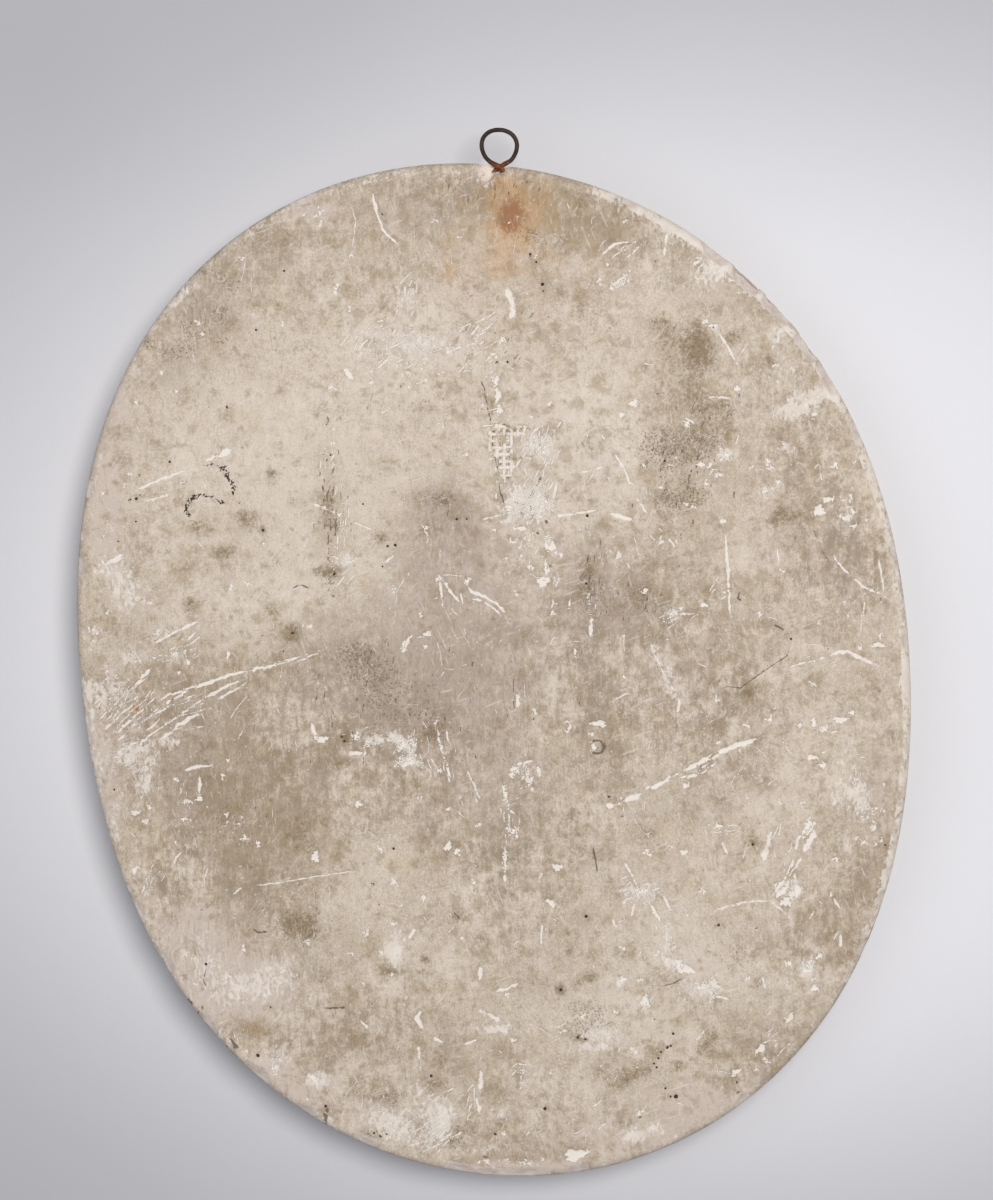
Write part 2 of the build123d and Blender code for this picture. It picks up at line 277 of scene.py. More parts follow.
        (14.5, 91, 4, 6, 0.8), (21.5, 89.6, 3, 6, 0.8), (6, 60, 5, 2, 0.7), (43.6, 46, 5, 4, 0.3),
        (37, 56, 2.6, 4, 0.5), (72, 22.5, 4, 3, 0.8), (93.4, 86, 3, 3, 0.5), (8, 40, 8, 12, 0.3),
        (108.7, 72, 4, 3, 0.9), (140.7, 64.3, 5, 5, 0.7), (117, 89, 4, 2, 0.7), (93, 86.4, 3, 2, 0.6),
        (165, -4, 3, 5, 0.7), (-145, -33.3, 9, 6, 0.8), (-140, -46, 3, 6, 0.7), (-130.3, -27.7, 6, 3, 0.7),
        (-48, -28.4, 4, 2, 1), (-39, -27, 3, 2.5, 1), (-33.2, -31, 3, 5, 0.8), (-35.3, -36.8, 6, 2.6, 0.8),
        (-39.5, -86, 5, 4, 0.6), (-41, -110.5, 5, 6, 1), (-39.5, -116, 3, 4, 0.8),
        (69.6, -55.7, 9, 7, 0.5), (59, -89.4, 5, 4, 0.9), (142, -36, 8, 13, 0.6), (147.7, -53, 5, 8, 0.8),
        (138.6, -51.5, 7, 7, 0.6), (138, -70.5, 4, 5, 0.7), (120.3, -87.3, 3, 5.5, 1),
        (-100, -128, 16, 11, 0.76), (-88, -122, 7, 7, 0.3), (-87, -159, 3, 4, 0.9), (-72, -164, 6, 4, 0.9),
        (-43, -181, 8, 6, 0.8), (-22.5, -173.5, 9, 7, 0.65), (-28.5, -166.5, 3, 3.6, 0.6),
        (-16, -177, 5, 2.4, 0.5), (-21, -181, 3, 3, 0.8), (3, -176.5, 4, 2.4, 0.9),
        (0.5, -191, 8, 2.8, 0.8), (40, -144.5, 9, 3, 0.7), (38, -151, 10, 2, 0.8), (86, -128, 7, 2.6, 0.8),
        (60.5, -133, 2.4, 3, 0.9), (51.7, -124, 2.4, 2.4, 0.9), (56, -186.5, 6, 2.2, 0.9),
        (65, -183, 6, 2.2, 0.9), (125.8, -119, 3, 4, 0.9), (71.5, -117, 5, 2, 0.7),
        (69, -107, 1.8, 7, 0.8), (-1, -143.5, 8, 1.8, 0.9), (-26, -188, 10, 5, 0.6),
        (25, -150, 30, 12, 0.25), (80, -120, 16, 10, 0.35), (-120, -118, 10, 12, 0.35),
        (12, -38, 6, 4, 0.3), (-150, -58, 5, 10, 0.5), (-156, 60, 4, 14, 0.4), (-8, 136, 8, 10, 0.35),
        (64, -108, 8, 10, 0.35), (64, 10, 2.6, 4, 0.55), (67, 3, 2.6, 4.5, 0.55), (70, -5, 2.6, 5, 0.55),
        (73, -12, 2, 4, 0.6),
    ],
}

# Pale gouges: width, strength, points along the line.
GOUGES = [
    (0.9, 1, [(-23.2, -24.5), (-21, -32), (-18.5, -38), (-16.8, -45)]),
    (0.7, 0.8, [(-11.2, -38), (-8.5, -45), (-5, -53)]), (0.8, 0.9, [(73.4, -9), (74.4, -13.5), (73, -18)]),
    (0.6, 0.9, [(116.5, 0.2), (121, 2.2), (128, 3.6), (134, 6)]),
    (1.1, 1, [(4.6, -69.5), (4.2, -76), (4.4, -86.5)]), (1.6, 1, [(59, -49), (67, -44.5), (76, -40.5)]),
    (1.8, 1, [(74, -41.5), (84, -37), (93, -32), (107, -27)]), (1, 1, [(76, -44), (84, -40.5), (90, -36)]),
    (1, 1, [(-160, -22), (-151, -13), (-143, -6), (-137, -2)]),
    (0.8, 1, [(-157, -25), (-148, -17), (-141, -11)]), (1, 1, [(-153, -27), (-144, -19), (-139, -14)]),
    (1.3, 1, [(-139.6, -15.4), (-130, -10), (-118, -6), (-106, -2.5), (-92, 1), (-70, 8)]),
    (0.9, 1, [(-155, -34), (-141, -28.5), (-130, -21), (-118, -12.5), (-106, -6), (-96, -2)]),
    (0.8, 1, [(-149, -25), (-138, -19), (-128, -13.5), (-116, -8.5)]),
    (1.1, 1, [(61.5, -92), (65, -99), (69, -107), (70.5, -114)]),
    (0.9, 1, [(66.5, -88.5), (70, -94), (72, -97)]), (1.4, 1, [(120, -73.5), (123, -66), (127, -58)]),
    (0.8, 1, [(110, -92), (116, -84), (121, -74)]),
    (0.9, 0.9, [(-49.3, 193.4), (-46.5, 182), (-44.4, 175.8), (-36.7, 168.8)]),
    (0.5, 0.6, [(-57.7, 188.5), (-55.3, 179.3), (-56, 173), (-57, 166.7)]),
    (1.6, 1, [(-60.5, 121), (-55.5, 116)]), (0.7, 0.7, [(-57, 121.8), (-49, 132), (-40.2, 143.5)]),
    (0.7, 0.7, [(-50.7, 124.6), (-36, 128.5), (-21.9, 135.1)]),
    (1.9, 0.9, [(4.7, 154), (6.9, 147.7), (7.6, 142.8), (5.5, 139.3)]),
    (0.8, 0.7, [(1, 140), (-6, 134), (-10, 127)]), (0.8, 0.9, [(89.2, 135.8), (93, 130), (98.4, 120.4)]),
    (0.9, 0.9, [(42.2, 165.3), (47.8, 170.2), (55.5, 171.6)]),
    (1.2, 0.9, [(46.4, 153.7), (51.3, 156.9), (55.5, 160.4)]), (0.9, 0.9, [(67.8, 164.6), (69.6, 175.8)]),
    (0.8, 0.8, [(85, 109), (95.6, 108.8)]),
    (0.9, 0.9, [(-146, 71), (-131.5, 77), (-124, 79.5), (-116.5, 82.5)]),
    (1.6, 1, [(-116.5, 82.5), (-110, 86), (-104, 88.5)]),
    (0.8, 0.7, [(-142.2, 67.1), (-134, 68.8), (-127.5, 71.3)]),
    (1.1, 0.9, [(-73.5, 67), (-64, 63), (-58, 60)]), (0.7, 0.8, [(-58, 60), (-48, 55.5)]),
    (0.8, 0.9, [(22.5, 61.4), (31.3, 62.3), (42.9, 64.2)]), (1.2, 1, [(45.5, 63), (50, 61.6), (56, 59.5)]),
    (0.8, 0.8, [(33.8, 79), (38, 79.6), (44.3, 81.5)]),
    (0.9, 0.9, [(47.5, 87.5), (51.3, 81.9), (54.1, 76.2), (57, 70.6)]),
    (0.9, 0.9, [(57, 69.5), (58.3, 67.1), (61.5, 62.2)]), (0.8, 0.8, [(42.6, 94.5), (44.7, 91.7)]),
    (0.8, 0.9, [(-22, 37.4), (-21, 30), (-20.2, 23.6)]),
    (0.9, 0.9, [(-20.5, 36.2), (-17, 30.5), (-12.4, 25.7)]), (0.7, 0.9, [(-12.4, 25.7), (-13.5, 31.3)]),
    (0.9, 1, [(-11.5, 35), (-8.6, 31.3), (-4, 29.4), (1.2, 26.4), (6.1, 21.5)]),
    (0.8, 0.9, [(-10, 29), (-4, 27.4), (0, 24.6), (4, 20.6)]), (0.9, 0.8, [(-43.7, 42.5), (-39.8, 46.4)]),
    (0.8, 0.7, [(-81.6, 2.2), (-69, 7.4)]), (1, 0.9, [(37.6, 31), (37.9, 27)]),
    (1.4, 0.9, [(38.2, 26), (38.7, 21.5), (38.9, 16), (38.4, 12)]), (0.9, 0.8, [(45.7, 31.7), (49.2, 33)]),
    (1.2, 0.9, [(90, 59.5), (93.5, 59)]),
    (0.9, 1, [(92, 58), (93, 50), (93.5, 42), (94, 30), (94.5, 22), (97.7, 19)]),
    (0.9, 0.9, [(67.5, 19.4), (71.7, 22.5), (76.6, 25.7)]), (0.9, 0.8, [(71.7, 22.5), (80.8, 22.5)]),
    (1, 0.8, [(69.6, 53.1), (71, 51), (72.7, 48.9)]),
    (1.8, 0.6, [(61.9, 13.8), (64, 6), (68.2, -3.1), (74.5, -10.8)]),
    (0.8, 0.9, [(135, 46.8), (139, 41), (142.8, 37.6)]),
    (0.8, 0.9, [(142.8, 37.6), (147.7, 33.4), (156.1, 29.9)]),
    (0.8, 0.8, [(153.7, 46.1), (155.4, 34.8), (156.1, 29.9)]),
    (0.7, 0.7, [(148.4, 28.5), (147.7, 21.5), (145.6, 22.9)]), (0.8, 0.8, [(113.3, 48.9), (114, 43.2)]),
    (1.2, 0.9, [(121.7, 0.8), (123.8, 1.5), (131.5, 4.3), (135.8, 6.7), (142.1, 7.4), (147.7, 4.3),
        (156.8, 0.4)]),
    (0.6, 0.6, [(122.4, 10.6), (131.5, 9.9)]), (1.2, 1, [(-135.9, 1.8), (-142, -4.5), (-149.2, -10.8)]),
    (1.5, 1, [(-139.4, -21.3), (-134, -16), (-127.5, -10.8), (-121.2, -8)]),
    (1, 1, [(-121.2, -8), (-112.5, -4.5), (-104, -1), (-97, 0)]),
    (0.8, 0.8, [(-95, -0.4), (-84, 3), (-76, 6)]), (1.4, 0.9, [(-76, 6), (-69, 8)]),
    (1.3, 1, [(-134.5, -29.1), (-126.8, -22.7), (-114.1, -14.3)]),
    (0.9, 0.8, [(-112, -12.2), (-103.6, -8), (-97, -3.5)]),
    (0.8, 0.8, [(-152, -29.8), (-146, -24), (-140.1, -17.1)]),
    (0.8, 0.8, [(-153.5, -27), (-149, -21), (-142.9, -14.3)]),
    (0.9, 0.8, [(-142.9, -23.8), (-133.1, -14.3)]),
    (0.9, 0.9, [(-137.6, 9.4), (-129, 14.5), (-117, 20.1)]), (0.8, 0.8, [(-123.3, 11), (-118.7, 16.2)]),
    (0.8, 0.8, [(-123.6, 10), (-123.4, 5), (-121.5, 1.1)]),
    (0.9, 0.9, [(-125.4, -40.3), (-118, -38.6), (-112.7, -38.2), (-111, -40.6)]),
    (0.9, 0.9, [(-117.7, -41.7), (-117.7, -50.1)]), (0.7, 0.8, [(-104.7, -90.1), (-100.5, -86.6)]),
    (0.5, 0.8, [(-100.5, -86.6), (-85.5, -85), (-71.5, -82.5), (-60, -81), (-49.5, -80)]),
    (0.6, 0.7, [(-114.1, -78.2), (-115.9, -83.8), (-115.5, -88.7)]),
    (0.8, 0.9, [(-124.7, -71.9), (-128.9, -78.2)]),
    (0.8, 0.8, [(-135.9, -76.1), (-139, -84), (-141.5, -90.8)]),
    (1.3, 0.9, [(-73.2, -20.6), (-71.1, -28.4)]), (0.9, 0.9, [(-23, -23.1), (-21.5, -29), (-20.5, -34)]),
    (0.8, 0.9, [(-19.5, -36.8), (-17.4, -45.9)]),
    (0.8, 0.8, [(-11.4, -38.9), (-8.6, -45.2), (-6.8, -49.4), (-4, -53.6)]),
    (2, 1, [(7.8, -40.4), (8.6, -42.4)]), (1.8, 1, [(11, -39), (13.5, -42), (15.9, -49)]),
    (1.1, 0.9, [(17.6, -38), (18.2, -43)]), (0.9, 0.9, [(8, -38.2), (16.2, -36)]),
    (0.8, 0.8, [(4.4, -47.3), (5.5, -55.7), (9.7, -58.5)]),
    (1.2, 0.9, [(4.4, -69.8), (4.6, -76), (4, -81.7)]),
    (1.6, 1, [(42.2, -54.3), (48.5, -54), (52.7, -52.2), (61.2, -48.7)]),
    (1, 0.9, [(62, -48), (66.1, -45.9), (71, -43.8)]),
    (1.4, 1, [(71, -42.4), (81.5, -37.5), (88.5, -32.9)]),
    (1, 0.9, [(73.1, -43.1), (80.1, -41.7), (87.1, -36.1)]),
    (2, 1, [(88.5, -32.9), (93, -31), (97, -29.8), (107, -27)]), (1, 0.9, [(88.5, -29.8), (91.3, -28.4)]),
    (1.5, 1, [(74.5, -11.5), (73.1, -17.1)]), (0.7, 0.8, [(47.8, -12.2), (52.7, -9.4), (55.5, -9.8)]),
    (0.8, 0.7, [(92.8, -62), (97.7, -62)]), (0.8, 0.8, [(91, -68.4), (93.8, -74)]),
    (2.1, 1, [(111.9, -63.5), (109.4, -71.2), (107.3, -77.5)]),
    (2.5, 1, [(128, -58.5), (127.3, -66.3), (123.8, -74)]),
    (0.9, 0.9, [(123.8, -74), (118.9, -81), (117, -84)]), (1, 0.9, [(99.2, -21.3), (102.8, -23.1)]),
    (0.9, 1, [(52, -76.4), (54.6, -81), (56.9, -85.9)]),
    (0.9, 1, [(60, -90.5), (61.9, -92.2), (68.9, -103.5), (68.9, -113.3)]),
    (0.8, 0.9, [(67.5, -89.4), (70.6, -97.2)]), (0.9, 0.9, [(59, -90), (49.9, -93.3)]),
    (0.8, 0.9, [(56.2, -92.2), (55.2, -99.3)]), (0.8, 0.8, [(47.1, -99.3), (49.2, -103.5)]),
    (0.8, 0.8, [(19, -100.7), (19, -110.5)]), (1.1, 0.9, [(138.6, -105.4), (138.6, -111.4)]),
    (0.9, 0.8, [(135.8, -90.8), (138.6, -95.8)]),
    (1.2, 0.6, [(85.2, -100), (89.4, -95.8), (100, -93), (110.5, -92.2), (117.5, -97.9), (122.4, -104.2)]),
    (1.2, 0.9, [(-31.2, -103.4), (-34.4, -107.6)]),
    (1.2, 1, [(-28.8, -135.7), (-30.9, -139.2), (-28, -144.1)]),
    (0.9, 0.9, [(-24.5, -147.3), (-20, -149)]),
    (1.2, 0.9, [(-30.5, -149.7), (-29.6, -155), (-29.1, -160.3)]),
    (1.3, 1, [(-6.3, -135), (-5, -136.4), (3.5, -141)]), (1, 0.9, [(-5.2, -118), (-5.9, -125)]),
    (0.9, 0.9, [(-0.7, -128.4), (4.2, -128), (10.6, -124.8)]), (0.9, 0.8, [(-11.9, -150), (-6.3, -147.6)]),
    (1.5, 0.9, [(-5.4, -159), (-5.2, -164), (-5.4, -168.7)]),
    (1.4, 0.9, [(-7.7, -170), (-6.4, -174), (-5.6, -177.8)]),
    (1.2, 0.9, [(-30, -190), (-24, -187), (-18, -182.5)]),
    (1.4, 0.9, [(-32, -194), (-24, -190.6), (-15, -184)]), (1, 0.9, [(-27, -186.5), (-22, -183.5)]),
    (0.8, 0.8, [(107.2, -122.4), (108.6, -128)]),
    (0.9, 0.7, [(80.5, -149), (82.4, -146.6), (84.7, -143.4)]), (0.8, 0.8, [(87.5, -130), (94.6, -132)]),
    (0.8, 0.8, [(-53.8, -140), (-49.6, -144)]), (0.9, 0.9, [(-104.5, -144), (-103.6, -147.6)]),
    (0.9, 0.8, [(-103, -151), (-101, -155), (-98, -151.5)]),
    (0.7, 0.8, [(27.6, -22.4), (29.2, -20), (30.8, -22.4), (29.2, -24.8), (27.6, -22.4)]),
    (1.6, 0.9, [(9.2, -9.6), (9.2, -12.2), (9.3, -15.4)]),
    (0.8, 0.9, [(6.3, 53.6), (6.6, 51.2), (9, 51.2), (9.4, 53.8)]),
    (1.2, 0.8, [(6, 61), (14, 61.4), (25, 61.2)]), (0.8, 0.9, [(14.1, 54.4), (14.2, 50.4)]),
]

# Dark cracks and scores: width, strength, points along the line.
CRACKS = [
    (1.3, 1, [(6.4, 81.4), (6.4, 79), (6, 77.5)]), (1.2, 1, [(19.2, 77.4), (18, 75.5), (17, 73)]),
    (1, 1, [(16.6, 72), (15.9, 70.5), (15.2, 69)]), (0.9, 0.9, [(20.9, 73), (20.6, 71.4), (20.2, 69.8)]),
    (0.9, 1, [(8, 67.4), (9, 66.8), (10.2, 66.6)]), (1.1, 1, [(20.6, 60.4), (21, 59.3), (21.3, 58)]),
    (0.9, 1, [(17.2, 55.6), (17.5, 54.8), (18, 53.8)]),
    (0.7, 0.9, [(2.2, 76), (2, 73.5), (2.8, 70), (4.4, 66)]),
    # this long crack is a shaded furrow; its dark colour is partly painted shade
    (0.5, 0.65, [(120.3, 10.3), (116.8, 5.3), (106.3, -1.7), (98.5, -7.3), (92.9, -6.6), (88.7, -9.4)]),
    (1.3, 1, [(-68.5, -172.9), (-66.8, -175.7), (-66.9, -179.9)]),
    (0.8, 0.8, [(-68.5, -135.5), (-63, -135.2), (-58.7, -135.3)]),
    (0.8, 0.7, [(-81.5, 32.5), (-77.5, 34), (-73.5, 32.5)]),
    (0.6, 1, [(39.4, -69.8), (40.5, -76), (41.6, -81.7)]),
    (0.4, 0.5, [(0.2, 196), (0.5, 190), (-1.5, 185)]),
    (0.7, 0.7, [(-6, 118), (-4, 112.6), (-1.6, 100.7), (-1.2, 96)]),
    (0.7, 0.8, [(-1.2, 96), (-0.2, 88), (1.6, 80), (1.8, 74)]), (0.5, 0.45, [(-47.9, 112), (-52, 100.7)]),
    (0.7, 0.5, [(-65.5, 64), (-65.6, 54)]), (0.6, 0.6, [(-63.4, 64), (-63.4, 52)]),
    (0.6, 0.6, [(121.7, 117.5), (125.9, 114)]), (0.6, 0.5, [(127, 126), (134, 115)]),
    (0.7, 0.5, [(127.3, 62.9), (128, 55.9), (131.5, 47.5), (135.8, 39.7)]),
    (0.6, 0.5, [(121.7, 55.9), (118.2, 47.5)]), (0.5, 0.6, [(7.8, -3), (7.8, -10)]),
    (0.6, 0.5, [(62.6, 6.7), (68.2, -3.8)]), (1.2, 0.9, [(96.5, -170), (98.5, -168.6), (101.5, -167)]),
    (0.6, 0.7, [(66.5, -126.6), (71.5, -125.5), (77.7, -122.4)]),
    (0.8, 0.9, [(57.4, -179.4), (59.5, -178.6)]),
    (0.9, 0.9, [(-97, -103.3), (-94.5, -105), (-90, -104.8)]),
    (0.7, 0.9, [(-115.3, -117), (-115.2, -119.4)]),
    (0.5, 0.7, [(-115.2, -119), (-116.2, -124.5), (-114.5, -128.5)]),
    (0.9, 0.9, [(-107.8, -150.6), (-105, -152), (-102.9, -153)]),
    (0.8, 0.9, [(-121, -130.8), (-118, -134), (-116.8, -136.8)]),
    (0.7, 0.8, [(-16.3, -96.5), (-13.5, -100)]), (0.7, 0.8, [(98.2, 31.5), (97.6, 28.6), (99, 27.6)]),
    (0.8, 0.8, [(111.6, 18), (114, 17.3), (116.2, 15.6)]),
    (0.7, 1, [(38.4, -30.8), (39.8, -33.3), (42.8, -33.3), (44.2, -30.8), (42.8, -28.3), (39.8, -28.3),
        (38.4, -30.8)]),
    (0.5, 0.8, [(8.2, -10), (7.9, -13), (8.4, -16)]), (0.5, 0.5, [(-71.4, -86.6), (-71.2, -100)]),
    (0.7, 0.7, [(-4.9, -195), (-2, -195)]), (0.5, 0.5, [(-22, 71), (-18, 66), (-19, 60)]),
]

# Old black crusts: half-width, points along the line.
SOOT = [
    (0.45, [(-116.2, 81.9), (-112.5, 82.2), (-109.9, 81.5)]),
    (0.95, [(-109.9, 81.5), (-107.8, 79.7), (-106, 76.2), (-104, 73.4), (-104.3, 69.9)]),
    (0.85, [(-117.6, 70.3), (-120.5, 68.9), (-122.6, 67.1), (-123.3, 62.9), (-121.9, 62.2)]),
    (0.5, [(-117.6, 70.3), (-114.5, 69.6), (-112, 68.9), (-108.5, 66.8)]),
]

# Black pinholes: x, y, radius.
PINHOLES = [
    (5.4, 123.2, 0.6), (1.2, 123.2, 0.5), (-84, 159.7, 0.6), (-95.2, 136.1, 0.6), (14.5, 166.3, 0.7),
    (16.9, 163.2, 0.6), (19.4, 154.4, 0.9), (19.7, 151.6, 0.5), (-129.7, 83.3, 0.7), (-143.1, 68.5, 0.8),
    (-145.4, 68.2, 0.5), (-143.3, 59.4, 0.5), (-42.6, 49.6, 0.7), (-39.5, 49.9, 0.8), (-44.6, 41.4, 0.5),
    (37.3, 61.8, 0.8), (22.6, 41.5, 0.8), (68.2, 83.6, 0.6), (36.9, 34.5, 0.6), (118.9, 12.4, 0.6),
    (-160.8, -42.4, 0.6), (-152, -47.9, 0.5), (-115.3, -117.8, 0.8), (-121, -130.8, 0.7),
    (-118.4, -131.8, 0.8), (-119, -134.6, 0.9), (-116.8, -136.8, 1.1), (-94.5, -154.3, 1),
    (-59.9, -183.6, 0.7), (-25.2, -162.4, 0.8), (20.4, -175.6, 0.9), (0.5, -185.7, 0.8), (26.7, -128, 0.8),
    (68.6, -167.4, 0.6), (70.7, -170.7, 0.6), (72.8, -170.7, 1.1), (71.7, -145.5, 0.7),
    (70.7, -150.4, 0.6), (69.3, -151, 0.9), (66.8, -152.9, 0.6), (65.8, -155.4, 0.6), (64, -157.5, 0.6),
    (65.1, -159, 0.6), (36.9, -98.6, 0.9), (89.9, -102.1, 0.7), (103.5, -69.8, 0.7), (156.5, -70.1, 0.5),
    (-59.8, -28.5, 0.7), (-61, -26.8, 0.5), (-40.2, -71.5, 0.7), (-80.6, 14.8, 0.7), (-48, -185.4, 0.6),
    (-45.5, -186.6, 0.6), (-43, -185.8, 0.5), (-67.4, -174.6, 0.8), (-142, 78, 0.4), (-141.6, 70, 0.4),
    (-65.3, 86, 0.5), (-52.4, 66.4, 0.5), (-64, 38.4, 0.8), (87.8, 137, 0.5), (-92.4, 55.9, 0.7),
    (-14.9, 60.4, 0.7), (33.6, -147, 0.6), (36.6, -147.8, 0.6),
]

# Clean white chips: x, y, half-length, half-width, direction in degrees.
CHIPS = [
    (8.3, -40, 2.2, 1.4, -30), (13.6, -42, 5, 1.6, 105), (4.5, -49, 4, 1.1, 95),
    (7.5, -64.5, 2.6, 1.2, 20), (4.4, -76, 4.5, 0.9, 92), (125.5, -63, 4.6, 1.8, 72),
    (115.5, -87, 4.4, 2.6, 40), (76, -119, 4.6, 2.2, -30), (86, -126, 5, 2.2, 10), (1.5, 110, 1.4, 3, 0),
    (0.5, 116, 1.6, 2.4, 10), (2.2, 104, 1.3, 2.2, 0), (0.5, 126, 1.8, 1.4, 20), (3.5, 132, 1.6, 1.2, 0),
    (-20.6, 98.5, 0.7, 0.6, 0), (50, 155, 4.4, 1.6, 35), (42, -21.5, 3.3, 1.4, -4),
    (-37.5, -29.5, 3, 2.2, 100), (-33.2, -31.2, 4.6, 2.2, 80), (-35.3, -36.8, 5, 2, 6),
    (60.5, -132.9, 2, 2.8, 0), (51.7, -123.8, 1.8, 1.4, 0), (32.7, -194, 5, 2.4, 10),
    (96.7, -161, 2.4, 1.2, 35), (14.8, 92.6, 5, 1.5, 62), (21.5, 90, 6, 1.6, 66),
    (18.7, 67.6, 3.2, 2.6, 60), (11, 72, 3.4, 1.1, 120), (7, 64, 3, 1.6, -20), (13, 63.6, 4, 1.6, 5),
    (22.5, 64.6, 2.4, 1.6, 70), (19.7, 35.5, 3, 2.2, 10), (21.2, 41.1, 1.4, 3, 10),
    (22.2, 50.3, 2.2, 3.6, 20), (10.6, 56.6, 3, 0.9, 0), (71.7, 22.5, 3, 2, 30), (89.9, 78, 2, 1, 0),
    (83.6, 81.9, 3, 1, -20), (59.8, 81.9, 1, 0.8, 0), (93.4, 86, 1.4, 1, 0), (66.8, 51, 1.6, 0.9, 40),
    (60.5, 31.7, 1.5, 0.9, 50), (84, 26, 2, 1, 0), (49.9, 46, 2, 1.2, 70), (-143.6, 120.4, 1.6, 1.4, 0),
    (-63.2, 152.6, 0.9, 0.7, 0), (55.9, 106.7, 2, 1.6, 20), (51, 102.1, 1.4, 1.2, 0),
    (97.3, 112.6, 1.5, 1.3, 0), (87.8, 137.4, 1.8, 1.4, 0), (-152, 44, 5, 1.3, 25),
    (-127.5, 6.4, 1.6, 1.2, 0), (-126, -1, 1, 0.8, 0), (-106.4, 6, 0.8, 2, -10),
    (-27.2, 56.6, 1.6, 0.6, 45), (-26.5, 14.5, 2, 1.2, 10), (-35.3, 10.3, 4, 1.3, 60),
    (-21.9, 36.6, 1.6, 1.2, 0), (-10.7, 35.4, 1.8, 1, 60), (108.7, 72, 2, 1.4, 0),
    (113.6, 75.2, 1.3, 1, 0), (133.6, 68.2, 2.6, 1.2, 10), (129.8, 63.6, 3, 2.2, 20),
    (143.8, 57.6, 2, 0.7, 0), (136.5, 82.2, 1.6, 0.8, 60), (153.7, 9.9, 3.2, 1.1, 0),
    (-117.7, -51.2, 1.6, 1.2, 90), (-122.9, -52.6, 2, 1, 10), (-123.6, -59.6, 2.4, 0.5, 0),
    (-106.4, -36.1, 1, 0.8, 0), (-144.3, -80.3, 2.6, 1.3, 30), (-145.7, -84.5, 1.5, 1, 0),
    (-139.4, -60.7, 1.6, 1.2, 0), (-143.6, -57.1, 2, 1.2, 0), (-94.5, -69.1, 1.2, 0.8, 0),
    (-69, -27.7, 3, 1.4, 0), (-55.6, -26.6, 2, 1.3, 0), (-54.9, -33.3, 4, 0.9, 0),
    (-30, -37.1, 1.4, 1.1, 0), (-21.9, -40.3, 1.5, 1, 0), (-18.4, -70.5, 2.2, 1.4, 60),
    (-14.9, -72.6, 1.8, 1, 50), (-45.4, -71.5, 1.4, 0.8, 0), (-71.4, -74.7, 1.6, 2.4, 0),
    (-54.2, -53.6, 1.7, 1.2, 0), (25.4, -78.9, 2.2, 1.5, 0), (22.9, -93.3, 2.4, 1.3, -40),
    (59, -89.4, 3.4, 2.4, 20), (75.9, -72.9, 1.8, 1.2, 0), (89.9, -62.4, 2, 0.8, 0),
    (110.5, -19.9, 1.2, 0.9, 0), (122.4, -22, 1.2, 1, 0), (128, -21.3, 1, 2.2, 0),
    (131.5, -23.4, 2.8, 1.4, 10), (138.6, -19.9, 3.2, 1.4, 0), (143.1, -17.1, 1.4, 1, 0),
    (127.3, -35, 2.5, 1.2, 0), (131.5, -38.2, 1.8, 1.2, 0), (144.9, -43.8, 1.4, 1, 0),
    (120.3, -87.3, 5, 2.2, 86), (116.8, -92.9, 2.4, 2, 0), (125.8, -119, 3, 2, 60),
    (118.4, -139.2, 2.8, 1.1, 55), (106.8, -151.5, 3, 1.5, 50), (128.3, -127.3, 1.6, 1.4, 0),
    (118, -117.4, 1.6, 1, 0), (130, -114.6, 2.2, 0.8, 35), (117, -126, 0.8, 0.6, 0),
    (76.6, -46.3, 1.5, 1.2, 0), (39.8, -30.8, 1.1, 1.8, 0), (7.6, -41.7, 2, 1.2, 30),
    (30.3, 26.4, 0.6, 2, 0), (32.4, 7.4, 0.6, 2, 0), (-72, -163.6, 3.4, 1.2, -45),
    (-87.5, -159.5, 1.8, 2.6, 0), (5.8, -63.5, 1.2, 1, 0), (9, -66, 0.8, 2, 0), (-40, -85, 1.6, 1, 20),
    (-28.2, -90.8, 1.4, 0.8, 0), (77.3, 98.6, 2, 0.8, 60),
]

